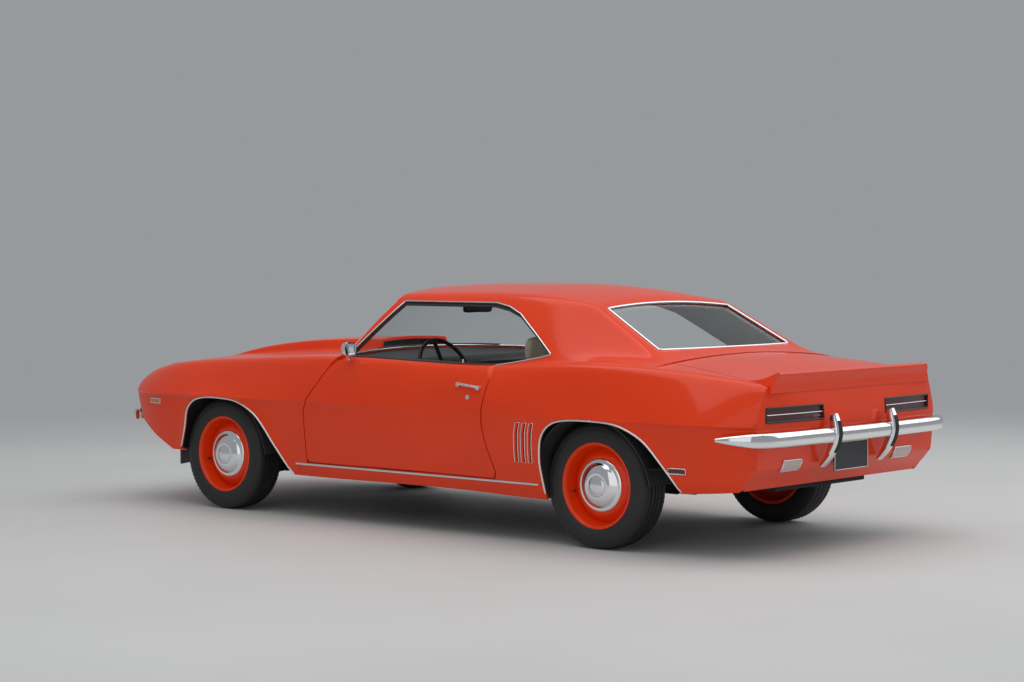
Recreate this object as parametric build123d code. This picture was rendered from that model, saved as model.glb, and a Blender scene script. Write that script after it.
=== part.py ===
"""A two-door hardtop muscle car as separate named solids, in millimetres.

X runs forward, Y to the car's left and Z up from the road. The origin is on the road, midway along the car.
"""
from build123d import *
import os
from collections import namedtuple

# Whole car
LENGTH = 4724
WHEELBASE = 2743
FRONT_OVERHANG = 930
FRONT_AXLE_X = LENGTH / 2 - FRONT_OVERHANG
REAR_AXLE_X = FRONT_AXLE_X - WHEELBASE
TRACK = 1512
BEYOND = 3000

# Wheels and tyres
TYRE_RADIUS = 316
TYRE_WIDTH = 190
RIM_RADIUS = 207
RIM_WIDTH = 170
SPINDLE_RADIUS = 24
KINGPIN_Y = 628
PIN_RADIUS = 11
RUNNING_FIT = 1

# Panels
PANEL = 14
LID = 24
DOOR_THICK = 112
GAP = 6
DOOR_GAP = 8
HOOD_GAP = 7
SEAT_FIT = 0.3
HINGE_PIN_RADIUS = 2.6
DOOR_HINGE_X = 696
DOOR_HINGE_Y = 916.6
HOOD_HINGE_X = 600.8
HOOD_HINGE_Z = 910
TRUNK_HINGE_X = -1635.6
TRUNK_HINGE_Z = 956.5
CREASE_Z = 650
KNEE_RISE = 60
KNEE_STEP = 26
SHOULDER_ROUND = 28

# Body sections from nose to tail: half-widths at sill, crease and shoulder, the heights there,
# and how far the side swells below and above the crease
Station = namedtuple("Station", "x sill_y sill_z crease_y shoulder_y shoulder_z deck_z low_swell high_swell")
STATIONS = [
    Station(2340, 690, 250, 760, 680, 722, 755, 3, 11),
    Station(2130, 790, 245, 850, 738, 782, 815, 1, 9),
    Station(1780, 840, 240, 905, 772, 836, 868, -2, 6),
    Station(1300, 852, 238, 924, 802, 867, 903, -2, 6),
    Station(500, 856, 236, 924, 846, 902, 933, 2, 10),
    Station(-600, 858, 236, 928, 858, 890, 930, 9, 19),
    Station(-1250, 860, 240, 940, 852, 916, 965, 2, 11),
    Station(-1700, 850, 300, 928, 822, 902, 950, -2, 6),
    Station(-2080, 810, 330, 886, 770, 868, 880, -2, 6),
    Station(-2340, 720, 360, 752, 702, 828, 835, -2, 6),
]

# Cabin sections from cowl to deck: foot of the side glass, bulge of the side, roof rail and roof centre
Cabin = namedtuple("Cabin", "x foot_y foot_z bulge rail_y rail_z roof_z")
CABIN = [
    Cabin(820, 846, 876, 12, 592, 1190, 1240),
    Cabin(300, 852, 880, 14, 606, 1212, 1286),
    Cabin(-300, 856, 874, 14, 612, 1219, 1304),
    Cabin(-900, 852, 886, 2, 602, 1206, 1270),
    Cabin(-1300, 842, 900, -20, 570, 1150, 1178),
    Cabin(-1800, 800, 880, -40, 500, 1060, 1070),
]

# Windscreen and rear window: height and centre of the foot, sweep at the far side, run per unit of height
SCREEN_FOOT_Z = 910
SCREEN_FOOT_X = 632
SCREEN_SIDE_X = 431
SCREEN_LEAN = -310 / 342
REAR_FOOT_Z = 985
REAR_FOOT_X = -1530
REAR_SIDE_X = -1440
REAR_LEAN = 410 / 229

# Shut lines
HOOD_REAR_X = 735
HOOD_REAR_SIDE_X = 604
HOOD_FRONT_X = 2196
HOOD_FRONT_SIDE_X = 2112
HOOD_REAR_Y = 700
HOOD_FRONT_Y = 640
LID_FRONT_X = -1640
LID_REAR_X = -2252
LID_FRONT_Y = 640
LID_REAR_Y = 726

# Floor and frame
FLOOR_Z = 246
FLOOR_THICK = 18
TUNNEL_RADIUS = 150
FIRE_WALL_X = 690
TRUNK_STEP_X = -1000
TRUNK_FLOOR_Z = 420
RAIL_Y = 400
ARM_Y = 644

# Bumpers, lamps and plate
REAR_BAR_Z = (552, 626)
FRONT_BAR_Z = (470, 540)
GUARD_Y = (232, 284)
GRILLE_Z = (470, 706)
GRILLE_HALF = 500
GRILLE_PITCH = 29

# Cabin fittings
STEERING_PLACE = (128, 372, 818)
STEERING_RADIUS = 188
STEERING_TILT = -64
SEAT_Y = (140, 620)


def bulged(a, b, bulge):
    """The middle of the arc from a to b that stands off the chord by bulge, to the right of the way taken."""
    run_u = b[0] - a[0]
    run_v = b[1] - a[1]
    chord = (run_u * run_u + run_v * run_v) ** 0.5
    return ((a[0] + b[0]) / 2 + run_v / chord * bulge, (a[1] + b[1]) / 2 - run_u / chord * bulge)


def outline(steps):
    """A face from (u, v, bulge) steps; bulge is that of the edge that arrives there, 0 for a line."""
    edges = []
    here = steps[-1][:2]
    for u, v, bulge in steps:
        there = (u, v)
        if bulge:
            edges.append(ThreePointArc(here, bulged(here, there, bulge), there))
        else:
            edges.append(Line(here, there))
        here = there
    return make_face(Wire(edges))


def across(x):
    """The plane of a section at x, with Y and Z as its own two axes."""
    return Plane(origin=(x, 0, 0), x_dir=(0, 1, 0), z_dir=(1, 0, 0))


def side_prism(steps, y0, y1, grow=0):
    """A side view outline in X and Z, carried from y0 to y1 and grown all round."""
    face = outline(steps)
    if grow:
        face = offset(face, grow, kind=Kind.ARC)
    plane = Plane(origin=(0, y1, 0), x_dir=(1, 0, 0), z_dir=(0, -1, 0))
    return extrude(plane * face, y1 - y0)


def plan_prism(steps, z0, z1, grow=0):
    """A plan outline in X and Y, carried from z0 to z1 and grown all round."""
    face = outline(steps)
    if grow:
        face = offset(face, grow, kind=Kind.ARC)
    return extrude(Plane.XY.offset(z0) * face, z1 - z0)


def front_prism(steps, x0, x1, grow=0):
    """A front view outline in Y and Z, carried from x0 to x1 and grown all round."""
    face = outline(steps)
    if grow:
        face = offset(face, grow, kind=Kind.ARC)
    return extrude(across(x0) * face, x1 - x0)


def block(x0, x1, y0, y1, z0, z1):
    """A plain box between two corners."""
    return Pos((x0 + x1) / 2, (y0 + y1) / 2, (z0 + z1) / 2) * Box(abs(x1 - x0), abs(y1 - y0), abs(z1 - z0))


def other_side(half):
    """The same piece on the car's right."""
    return mirror(half, about=Plane.XZ)


def both_sides(half):
    """A piece of the left side with its twin on the right."""
    return half + other_side(half)


def rod_y(x, z, y0, y1, radius):
    """A round bar along Y."""
    return Pos(x, (y0 + y1) / 2, z) * Rot(90, 0, 0) * Cylinder(radius, abs(y1 - y0))


def rod_z(x, y, z0, z1, radius):
    """A round bar along Z."""
    return Pos(x, y, (z0 + z1) / 2) * Cylinder(radius, abs(z1 - z0))


def rod_x(y, z, x0, x1, radius):
    """A round bar along X."""
    return Pos((x0 + x1) / 2, y, z) * Rot(0, 90, 0) * Cylinder(radius, abs(x1 - x0))


def body_section(s, inset):
    """Half of a body section, moved inward by inset; an inner one runs on below the sill."""
    low = s.sill_z if inset <= 0 else s.sill_z - 120
    rise = s.shoulder_z - CREASE_Z
    part = 1 - SHOULDER_ROUND / rise
    round_y = s.shoulder_y + (s.crease_y - s.shoulder_y) * (1 - part) + 4 * s.high_swell * part * (1 - part)
    round_z = s.shoulder_z - SHOULDER_ROUND
    top_y = s.shoulder_y - SHOULDER_ROUND
    top_z = s.shoulder_z + (s.deck_z - s.shoulder_z) * 2 * SHOULDER_ROUND / s.shoulder_y
    steps = [
        (0, low, 0),
        (s.sill_y - inset, low, 0),
        (s.sill_y - inset + KNEE_STEP, s.sill_z + KNEE_RISE, 4),
        (s.crease_y - inset, CREASE_Z, s.low_swell),
        (round_y - inset, round_z - inset, s.high_swell * part ** 2),
        (top_y - inset, top_z - inset, 7),
        (0, s.deck_z - inset, 8),
    ]
    return across(s.x) * outline(steps)


def nose_and_tail(inset):
    """What the left half keeps between nose and tail: a swept nose, and a tail that is bowed in plan."""
    nose = [
        (-BEYOND, 120, 0),
        (1790 if inset <= 0 else 1936 - inset, 120, 0),
        (1790 if inset <= 0 else 1936 - inset, 322, 0),
        (1936 - inset, 323, 0),
        (2246 - inset, 485, 22),
        (2300 - inset, 600, 10),
        (2322 - inset, 700, 0),
        (2264 - inset, 757, 12),
        (2146 - inset, 799, 4),
        (1900, 960, 0),
        (1900, 1500, 0),
        (-BEYOND, 1500, 0),
    ]
    face = Plane(origin=(0, 0, 0), x_dir=(1, 0, 0), z_dir=(0, -1, 0)) * outline(nose)
    front = extrude(face, 1100, dir=(-0.106, 1, 0))
    tail = [
        (BEYOND, 120, 0),
        (BEYOND, 1500, 0),
        (-2262 + inset, 1500, 0),
        (-2262 + inset, 812, 0),
        (-2285 + inset, 640, 0),
        (-2285 + inset, 600, 0),
        (-2250 + inset, 545, 0),
        (-2240 + inset, 450, 0),
        (-2165 + inset, 372, 8),
        (-2150 + inset, 120, 0),
    ]
    bow = [
        (BEYOND, -950, 0),
        (BEYOND, 950, 0),
        (-2228 + inset, 950, 0),
        (-2228 + inset, -950, 57),
    ]
    return front & side_prism(tail, -950, 950) & plan_prism(bow, 0, 1500)


def body_half(inset):
    """The left half of the lower body, moved inward by inset."""
    return loft([body_section(s, inset) for s in STATIONS]) & nose_and_tail(inset)


def cabin_section(c, inset, foot_drop):
    """Half of a cabin section, moved inward by inset, its foot carried down by foot_drop."""
    foot_y = c.foot_y - inset
    foot_z = c.foot_z - foot_drop
    rail_y = c.rail_y - inset
    rail_z = c.rail_z - inset / 2
    roof_z = c.roof_z - inset
    steps = [
        (0, foot_z, 0),
        (foot_y, foot_z, 0),
        (foot_y, c.foot_z, 0) if foot_drop else (foot_y - 0.1, foot_z + 0.3, 0),
        (rail_y, rail_z, c.bulge),
        (rail_y - 66, rail_z + 0.46 * (roof_z - rail_z), 8),
        (0, roof_z, 7),
    ]
    return across(c.x) * outline(steps)


def behind_screen(inset):
    """Everything behind the windscreen's bowed face, moved back by inset."""
    start_z = 600
    shift = (start_z - SCREEN_FOOT_Z) * SCREEN_LEAN - inset
    steps = [
        (-BEYOND, -900, 0),
        (SCREEN_SIDE_X + shift, -900, 0),
        (SCREEN_SIDE_X + shift, 900, SCREEN_FOOT_X - SCREEN_SIDE_X),
        (-BEYOND, 900, 0),
    ]
    run = 850
    length = run * (1 + SCREEN_LEAN ** 2) ** 0.5
    return extrude(Plane.XY.offset(start_z) * outline(steps), length, dir=(SCREEN_LEAN, 0, 1))


def ahead_of_rear_window(inset):
    """Everything ahead of the rear window's face, moved forward by inset."""
    start_z = 600
    shift = (start_z - REAR_FOOT_Z) * REAR_LEAN + inset
    steps = [
        (BEYOND, 900, 0),
        (REAR_SIDE_X + shift, 900, 0),
        (REAR_SIDE_X + shift, -900, REAR_SIDE_X - REAR_FOOT_X),
        (BEYOND, -900, 0),
    ]
    run = 850
    length = run * (1 + REAR_LEAN ** 2) ** 0.5
    return extrude(Plane.XY.offset(start_z) * outline(steps), length, dir=(REAR_LEAN, 0, 1))


def cabin_half(inset, foot_drop, screen_inset, rear_inset):
    """The left half of the cabin above the belt."""
    form = loft([cabin_section(c, inset, foot_drop) for c in CABIN])
    return form & behind_screen(screen_inset) & ahead_of_rear_window(rear_inset)


def arch(axle_x, front, front_foot, rear):
    """A wheel opening: steep in front, flat above and slanted behind."""
    steps = [
        (axle_x + front_foot, 100, 0),
        (axle_x + front - 2, 505, 0),
        (axle_x + front - 140, 636, 34),
        (axle_x - 180, 634, 11),
        (axle_x - 352, 560, 18),
        (axle_x - rear, 240, 0),
        (axle_x - rear - 40, 100, 0),
    ]
    return side_prism(steps, 600, 1000)


def housing(axle_x, inner_y, radius, form):
    """A half drum over a wheel with its inner wall, kept inside the panels' form."""
    drum = rod_y(axle_x, TYRE_RADIUS, inner_y, 950, radius)
    drum = drum - rod_y(axle_x, TYRE_RADIUS, inner_y + 6, 960, radius - 8)
    return (drum & block(axle_x - 500, axle_x + 500, 0, 1000, TYRE_RADIUS + 20, 900)) & form


# Outlines in side view
DOOR_EDGE = [
    (452, 909, 0),
    (-34, 898, 0),
    (-345, 886, 0),
    (-648, 886, 0),
    (-648, 787, 0),
    (-622, 660, 0),
    (-622, 590, 0),
    (-640, 505, 0),
    (-694, 350, 0),
    (-680, 320, 0),
    (676, 320, 0),
    (692, 340, 0),
    (692, 600, 0),
    (657, 672, 0),
    (539, 836, 0),
]
SIDE_WINDOW = [
    (438, 872, 0),
    (438, 908, 0),
    (196, 1206, 0),
    (-470, 1206, 0),
    (-672, 1150, 20),
    (-820, 1056, 0),
    (-974, 954, 0),
    (-900, 936, 0),
    (-747, 906, 0),
    (-646, 888, 0),
    (-646, 872, 0),
]
FENDER_REAR = [
    (BEYOND, 100, 0),
    (BEYOND, 1100, 0),
    (660, 1100, 0),
    (520, 925, 0),
    (502, 900, 0),
    (547, 840, 0),
    (665, 676, 0),
    (700, 604, 0),
    (700, 313, 0),
    (760, 313, 0),
    (760, 100, 0),
]
HINGE_POST = [
    (800, 244, 0),
    (800, 884, 0),
    (510, 884, 0),
    (552, 845, 0),
    (672, 677, 0),
    (706, 606, 0),
    (706, 244, 0),
]
GUARD = [
    (-2338, 692, 0),
    (-LENGTH / 2, 610, 6),
    (-2340, 520, 6),
    (-2262, 425, 10),
    (-2240, 438, 0),
    (-2288, 530, -10),
    (-2298, 690, -4),
]
SPOILER = [
    (-2110, 850, 0),
    (-2110, 866, 0),
    (-2273, 904, -10),
    (-2281, 898, 0),
    (-2266, 805, -3),
    (-2200, 805, 0),
]
SCOOP = [(742, 900, 0), (2010, 838, 0), (1100, 976, 26), (742, 988, 2)]
TOE_BOARD = [(690, 330, 0), (672, 330, 0), (548, 246, 0), (548, 228, 0), (566, 228, 0)]
SPRING = [
    (-1990, 392, 0),
    (-1990, 376, 0),
    (REAR_AXLE_X, 246, 0),
    (-1018.3, 316, 0),
    (-1018.3, 334, 0),
    (REAR_AXLE_X, 262, 0),
]
DASH = [(671.7, 790, 0), (590, 866, 0), (440, 880, 0), (350, 846, 20), (372, 660, 0), (671.7, 660, 0)]
SEAT_BACK = [(-280, 400, 0), (-480, 905, 0), (-600, 905, 12), (-420, 380, 0)]
HEAD_REST = [(-500, 890, 0), (-522, 1040, 0), (-596, 1040, 14), (-590, 890, 0)]
BENCH = [(-640, 246.3, 0), (-620, 440, 20), (-999.7, 400, 0), (-999.7, 246.3, 0)]
BENCH_BACK = [(-980, 420.3, 0), (-1060, 880, 0), (-1190, 880, 12), (-1150, 420.3, 0)]

# Outlines in front view
SCREEN_HOLE = [(-738, 926, 0), (738, 926, 0), (548, 1212, 0), (-548, 1212, 34)]
REAR_HOLE = [(-570, 982, 0), (570, 982, 0), (521, 1184, 0), (-521, 1184, 30)]
TAIL_LAMP = [(284, 668, 0), (732, 668, 0), (732, 734, 0), (284, 734, 0)]
REVERSE_LAMP = [(424, 424, 0), (578, 424, 0), (578, 478, 0), (424, 478, 0)]
PARKING_LAMP = [(420, 398, 0), (600, 398, 0), (600, 450, 0), (420, 450, 0)]
SPOILER_ENDS = [(-724, 790, 0), (724, 790, 0), (676, 910, 0), (-676, 910, 0)]
SCOOP_SIDES = [(-322, 800, 0), (322, 800, 0), (258, 1000, 0), (-258, 1000, 0)]

# Outlines in plan
HOOD_PLAN = [
    (HOOD_FRONT_SIDE_X, -HOOD_FRONT_Y, 0),
    (HOOD_FRONT_SIDE_X, HOOD_FRONT_Y, HOOD_FRONT_X - HOOD_FRONT_SIDE_X),
    (HOOD_REAR_SIDE_X, HOOD_REAR_Y, 0),
    (HOOD_REAR_SIDE_X, -HOOD_REAR_Y, HOOD_REAR_SIDE_X - HOOD_REAR_X),
]
LID_PLAN = [
    (LID_FRONT_X, -LID_FRONT_Y, 0),
    (LID_FRONT_X, LID_FRONT_Y, 0),
    (LID_REAR_X - 60, LID_REAR_Y, 0),
    (LID_REAR_X - 60, -LID_REAR_Y, 0),
]
COWL_LINE = [
    (BEYOND, -HOOD_REAR_Y - HOOD_GAP, 0),
    (BEYOND, HOOD_REAR_Y + HOOD_GAP, 0),
    (HOOD_REAR_SIDE_X - HOOD_GAP, HOOD_REAR_Y + HOOD_GAP, 0),
    (HOOD_REAR_SIDE_X - HOOD_GAP, -HOOD_REAR_Y - HOOD_GAP, HOOD_REAR_SIDE_X - HOOD_REAR_X),
]
REAR_BAR = [
    (-2352, 0, 0),
    (-2300, 0, 0),
    (-2290, 735, -3),
    (-2226, 845, -14),
    (-2098, 893, -6),
    (-2092, 930, 0),
    (-2240, 884, 8),
    (-2326, 748, 22),
]
FRONT_BAR = [
    (LENGTH / 2, 0, 0),
    (2284, 780, 16),
    (2228, 826, 12),
    (2224, 800, 0),
    (2262, 760, -8),
    (2328, 0, -12),
]
DAM = [(1880, 780, 0), (2120, 0, -30), (2106, 0, 0), (1866, 780, 30)]

# Half profiles of tyre and wheel: radius, place along the axle, bulge
TYRE = [
    (208, -70, 0),
    (208, 70, 0),
    (256, TYRE_WIDTH / 2, 6),
    (300, 84, 4),
    (TYRE_RADIUS, 64, 5),
    (TYRE_RADIUS, -64, 0),
    (300, -84, 5),
    (256, -TYRE_WIDTH / 2, 4),
]
WHEEL = [
    (SPINDLE_RADIUS + RUNNING_FIT, -40, 0),
    (60, -40, 0),
    (60, 12, 0),
    (150, 16, 0),
    (192, 40, 0),
    (192, -85, 0),
    (216, -85, 0),
    (216, -78, 0),
    (RIM_RADIUS + 0.7, -74, 0),
    (RIM_RADIUS + 0.7, 74, 0),
    (216, 78, 0),
    (216, 86, 0),
    (204, 86, 0),
    (196, 62, 0),
    (168, 36, 0),
    (132, 44, 0),
    (104, 62, 0),
    (84, 60, 0),
    (76, 66, 0),
    (58, 82, 0),
    (34, 89, 0),
    (0, 89, 0),
    (0, 32, 0),
    (SPINDLE_RADIUS + RUNNING_FIT, 32, 0),
]


def save(shape, name):
    """One piece, one file."""
    export_step(shape, f"parts/{name}.step")


os.makedirs("parts", exist_ok=True)

# Shared forms of the left half
outer = body_half(0)
panel_inner = body_half(PANEL)
lid_inner = body_half(LID)
door_inner = body_half(DOOR_THICK)
post_form = body_half(PANEL + SEAT_FIT)
floor_form = body_half(DOOR_THICK + SEAT_FIT)
skin = outer - panel_inner
lid_skin = outer - lid_inner
thick_skin = outer - door_inner
lens_form = body_half(-3) - panel_inner
cabin_outer = cabin_half(0, 0, 0, 0)
cabin_void = cabin_half(30, 300, 36, 64)
front_arch = arch(FRONT_AXLE_X, 266, 460, 640)
rear_arch = arch(REAR_AXLE_X, 294, 294, 600)

# Cutters at the shut lines
hood_cut = plan_prism(HOOD_PLAN, 640, 1100, HOOD_GAP)
lid_cut = plan_prism(LID_PLAN, 800, 1100, GAP)
door_cut = side_prism(DOOR_EDGE, 700, 1000, DOOR_GAP)
fender_zone = side_prism(FENDER_REAR, HOOD_REAR_Y + HOOD_GAP, 1000)
ahead_of_cowl = plan_prism(COWL_LINE, 100, 1100)
window_cut = side_prism(SIDE_WINDOW, 400, 1000)
tail_lamp_hole = front_prism(TAIL_LAMP, -2330, -2200)
screen_hole = front_prism(SCREEN_HOLE, 120, 900)
rear_hole = front_prism(REAR_HOLE, -1700, -900)

# Body shell: roof, pillars, quarters, rockers and tail panel
half = outer + cabin_outer
half = half - panel_inner
half = half - cabin_void
half = half + (thick_skin & block(-955, 755, 745, 1000, 200, 880))
half = half - (side_prism(DOOR_EDGE, 700, 1000, DOOR_GAP + 14) & panel_inner)
half = half - door_cut - window_cut - fender_zone - ahead_of_cowl - lid_cut - rear_arch
half = half - block(-2400, -2100, -10, 760, 300, 552)
half = half - tail_lamp_hole
half = half + ((post_form - door_inner) & side_prism(HINGE_POST, 745, 1000))

# Hinge pins of hood and trunk lid, each with the foot that carries it
hood_pin_y = (HOOD_REAR_Y - 12, HOOD_REAR_Y)
half = half + rod_y(HOOD_HINGE_X, HOOD_HINGE_Z, *hood_pin_y, HINGE_PIN_RADIUS)
half = half + block(HOOD_HINGE_X - 8, HOOD_HINGE_X, *hood_pin_y, HOOD_HINGE_Z - 8, HOOD_HINGE_Z)
half = half + rod_y(TRUNK_HINGE_X, TRUNK_HINGE_Z, -1, 60, HINGE_PIN_RADIUS + 1)
half = half + block(TRUNK_HINGE_X, TRUNK_HINGE_X + 8, -1, 60, TRUNK_HINGE_Z - 12, TRUNK_HINGE_Z - 1)
save(both_sides(half) - screen_hole - rear_hole, "body_shell")

# Tail
reverse_hole = front_prism(REVERSE_LAMP, -2330, -2150)
save(both_sides((skin & block(-2400, -2100.3, -10, 759.7, 300, 551.7)) - reverse_hole), "rear_valance")
save(both_sides(lens_form & front_prism(TAIL_LAMP, -2330, -2200, -SEAT_FIT)), "tail_lamps")
save(both_sides(lens_form & front_prism(REVERSE_LAMP, -2330, -2150, -SEAT_FIT)), "reverse_lamps")
plate = block(-2256, -2252, -152, 152, 400, 540) + block(-2253, -2240, -60, 60, 500, 530)
save(plate - both_sides(outer), "number_plate")
bar = plan_prism(REAR_BAR, *REAR_BAR_Z)
guard = side_prism(GUARD, *GUARD_Y)
bracket = block(-2320, -2250, 420, 470, 560, 615) - outer
save(both_sides(bar + guard + bracket), "rear_bumper")

# Trunk lid and spoiler
save(both_sides(lid_skin & plan_prism(LID_PLAN, 806, 1100)), "trunk_lid")
spoiler = side_prism(SPOILER, -730, 730) & front_prism(SPOILER_ENDS, -2400, -2000)
save(spoiler - both_sides(outer), "rear_spoiler")

# Fenders, each with the door's hinge pin and the foot that carries it
fender = (skin & side_prism(FENDER_REAR, 560, 1000)) - hood_cut - front_arch
fender = fender - block(400, 760, -10, HOOD_REAR_Y + HOOD_GAP, 100, 1100)
fender = fender - block(1800, 2400, -10, 655, 100, 1100) - block(1800, 2400, -10, 772, 100, 692)
fender = fender + rod_z(DOOR_HINGE_X, DOOR_HINGE_Y, 560, 598, HINGE_PIN_RADIUS + 0.8)
fender = fender + block(DOOR_HINGE_X, DOOR_HINGE_X + 8, DOOR_HINGE_Y - 10, DOOR_HINGE_Y - 2, 560, 598)
save(fender, "fender_left")
save(other_side(fender), "fender_right")

# Nose, grille, front bumper and air dam
save(both_sides(skin & block(1800, 2400, -10, 654.7, 692, 1100)) - hood_cut, "nose_panel")
valance = (skin & block(1800, 2400, -10, 771.7, 100, 485)) - front_prism(PARKING_LAMP, 2000, 2330)
save(both_sides(valance), "front_valance")
save(both_sides(lens_form & front_prism(PARKING_LAMP, 2000, 2330, -SEAT_FIT)), "parking_lamps")
grille_form = post_form - body_half(PANEL + 30)
grille = grille_form & block(2050, 2400, -10, GRILLE_HALF, *GRILLE_Z)
for slot_z in range(515, 690, GRILLE_PITCH):
    grille = grille - block(2150, 2400, 6, GRILLE_HALF - 12, slot_z - 9, slot_z + 9)
save(both_sides(grille) + block(2230, 2268, -5, 5, 487, 690), "grille")
covers = grille_form & block(2050, 2400, GRILLE_HALF + SEAT_FIT, 771.7, *GRILLE_Z)
save(both_sides(covers), "headlamp_covers")
stay = block(2150, 2340, 400, 450, 490, 520) - panel_inner
save(both_sides(plan_prism(FRONT_BAR, *FRONT_BAR_Z) + stay), "front_bumper")
save(both_sides(plan_prism(DAM, 228, 480) - outer), "air_dam")

# Hood with its rear-facing scoop
hood = both_sides(lid_skin) & plan_prism(HOOD_PLAN, 640, 1100)
scoop = side_prism(SCOOP, -330, 330) & front_prism(SCOOP_SIDES, 600, 2100)
hood = hood + (scoop - both_sides(lid_inner))
hood = hood - block(700, 980, -232, 232, 925, 970)
save(hood, "hood")

# Doors
door = thick_skin & side_prism(DOOR_EDGE, 745, 1000)
save(door, "door_left")
save(other_side(door), "door_right")
mirror_head = Pos(372, 893, 950) * Rot(0, 90, 0) * Cylinder(44, 52)
mirror_foot = block(352, 392, 858, 880, 880, 915)
save((mirror_head + mirror_foot) - door, "door_mirror")

# Glass
screen_pane = front_prism(SCREEN_HOLE, 120, 900, -SEAT_FIT)
rear_pane = front_prism(REAR_HOLE, -1700, -900, -SEAT_FIT)
save((behind_screen(8) - behind_screen(16)) & screen_pane, "windshield")
save((ahead_of_rear_window(12) - ahead_of_rear_window(24)) & rear_pane, "rear_window")

# Floor with tunnel, firewall, rear bulkhead and trunk floor
floor_base = FLOOR_Z - FLOOR_THICK
tunnel_inner = TUNNEL_RADIUS - FLOOR_THICK
tunnel_way = rod_x(0, FLOOR_Z, 800, -1100, tunnel_inner) + block(-1100, 800, -10, tunnel_inner, 0, FLOOR_Z)
floor = block(560, TRUNK_STEP_X, -10, 800, floor_base, FLOOR_Z)
tunnel = rod_x(0, FLOOR_Z, FIRE_WALL_X, TRUNK_STEP_X, TUNNEL_RADIUS)
floor = floor + (tunnel - block(-1100, 800, -200, 200, 0, floor_base))
floor = (floor - tunnel_way) & block(-1100, 800, 0, 800, 0, 600)
fire_wall = block(FIRE_WALL_X - FLOOR_THICK, FIRE_WALL_X, 0, 742, floor_base, 870) - tunnel_way
toe = side_prism(TOE_BOARD, 140, 735)
step_back = TRUNK_STEP_X - FLOOR_THICK
step = block(step_back, TRUNK_STEP_X, 0, 620, floor_base, TRUNK_FLOOR_Z)
step = step - rod_x(0, TYRE_RADIUS, -1030, -990, 70)
trunk_floor = block(step_back, -2150, 0, 618, TRUNK_FLOOR_Z - FLOOR_THICK, TRUNK_FLOOR_Z)
floor = (floor + fire_wall + toe + step + trunk_floor) & floor_form
jack_pad = block(-960, -880, 645, 695, 214, 229)
save(both_sides(floor + jack_pad), "floor_pan")

# Wheel housings
front_housing = housing(FRONT_AXLE_X, 478, 384, post_form) - block(1380, 1484, 470, 490, 300, 480)
rear_housing = housing(REAR_AXLE_X, 620, 352, post_form) - block(-1400, -1200, 610, 630, 300, 420)
save(both_sides(front_housing + rear_housing), "wheel_housings")

# Front frame: rails, crossmember, towers, arms with their pin eyes, ties and jack pads
rail = block(700, 1880, 330, RAIL_Y, 250, 330)
cross = block(FRONT_AXLE_X - 60, FRONT_AXLE_X + 60, 0, RAIL_Y, 190, 300)
tower = block(FRONT_AXLE_X - 40, FRONT_AXLE_X + 40, 360, RAIL_Y, 300, 452)
arms = block(FRONT_AXLE_X - 20, FRONT_AXLE_X + 20, 390, ARM_Y, 428, 446)
arms = arms + block(FRONT_AXLE_X - 20, FRONT_AXLE_X + 20, 390, ARM_Y, 186, 204)
arms = arms - rod_z(FRONT_AXLE_X, KINGPIN_Y, 100, 500, PIN_RADIUS + RUNNING_FIT)
nose_tie = block(1850, 1880, 0, RAIL_Y, 250, 330)
fire_tie = block(FIRE_WALL_X + SEAT_FIT, 730, 300, 430, 250, 400)
pad = block(760, 840, 340, 390, 235, 251)
save(both_sides(rail + cross + tower + arms + nose_tie + fire_tie + pad), "front_frame")

# Knuckles
knuckle = block(FRONT_AXLE_X - 34, FRONT_AXLE_X + 34, 610, 648, 214, 418)
knuckle = knuckle + rod_z(FRONT_AXLE_X, KINGPIN_Y, 182, 450, PIN_RADIUS)
knuckle = knuckle + rod_y(FRONT_AXLE_X, TYRE_RADIUS, 640, TRACK / 2 + 20, SPINDLE_RADIUS)
knuckle = knuckle + block(FRONT_AXLE_X - 150, FRONT_AXLE_X, 612, 634, 240, 262)
save(knuckle, "knuckle_left")
save(other_side(knuckle), "knuckle_right")

# Rear axle with springs and drive shaft
axle = rod_y(REAR_AXLE_X, TYRE_RADIUS, -610, 610, 38)
axle = axle + rod_y(REAR_AXLE_X, TYRE_RADIUS, -TRACK / 2 - 20, TRACK / 2 + 20, SPINDLE_RADIUS)
axle = axle + rod_x(0, TYRE_RADIUS, REAR_AXLE_X - 110, REAR_AXLE_X + 100, 82)
axle = axle + rod_x(0, TYRE_RADIUS, REAR_AXLE_X, -1030, 58)
axle = axle + rod_x(0, TYRE_RADIUS, -1040, 189.7, 34)
spring = side_prism(SPRING, 500, 560)
saddle = block(REAR_AXLE_X - 40, REAR_AXLE_X + 40, 500, 560, 250, 300)
shackle = block(-2000, -1970, 500, 560, 380, 401.7)
save(axle + both_sides(spring + saddle + shackle), "rear_axle")

# Engine with gearbox, exhaust and fuel tank
save(block(960, 1640, -250, 250, 300.3, 740) + rod_x(0, 280, 190, 980, 80), "engine")
pipe = rod_x(250, 196, 1100, -1120, 26) + rod_x(250, 196, -520, -1000, 31.7)
pipe = pipe + block(1080, 1120, 250.3, 276, 196, 420)
save(both_sides(pipe), "exhaust")
save(block(-2080, -1760, -400, 400, 306, 401.7), "fuel_tank")

# Dashboard and steering wheel
dash = side_prism(DASH, -735, 735)
save(dash, "dashboard")
wheel_place = Pos(*STEERING_PLACE) * Rot(0, STEERING_TILT, 0)
steering = wheel_place * Torus(STEERING_RADIUS, 11)
for turn in (0, 120, 240):
    steering = steering + wheel_place * Rot(0, 0, turn) * Pos(94, 0, -8) * Box(190, 26, 7)
steering = steering + wheel_place * Pos(0, 0, -20) * Cylinder(46, 40)
steering = steering + wheel_place * Pos(0, 0, -150) * Cylinder(24, 280)
save(steering - dash, "steering_wheel")

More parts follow.
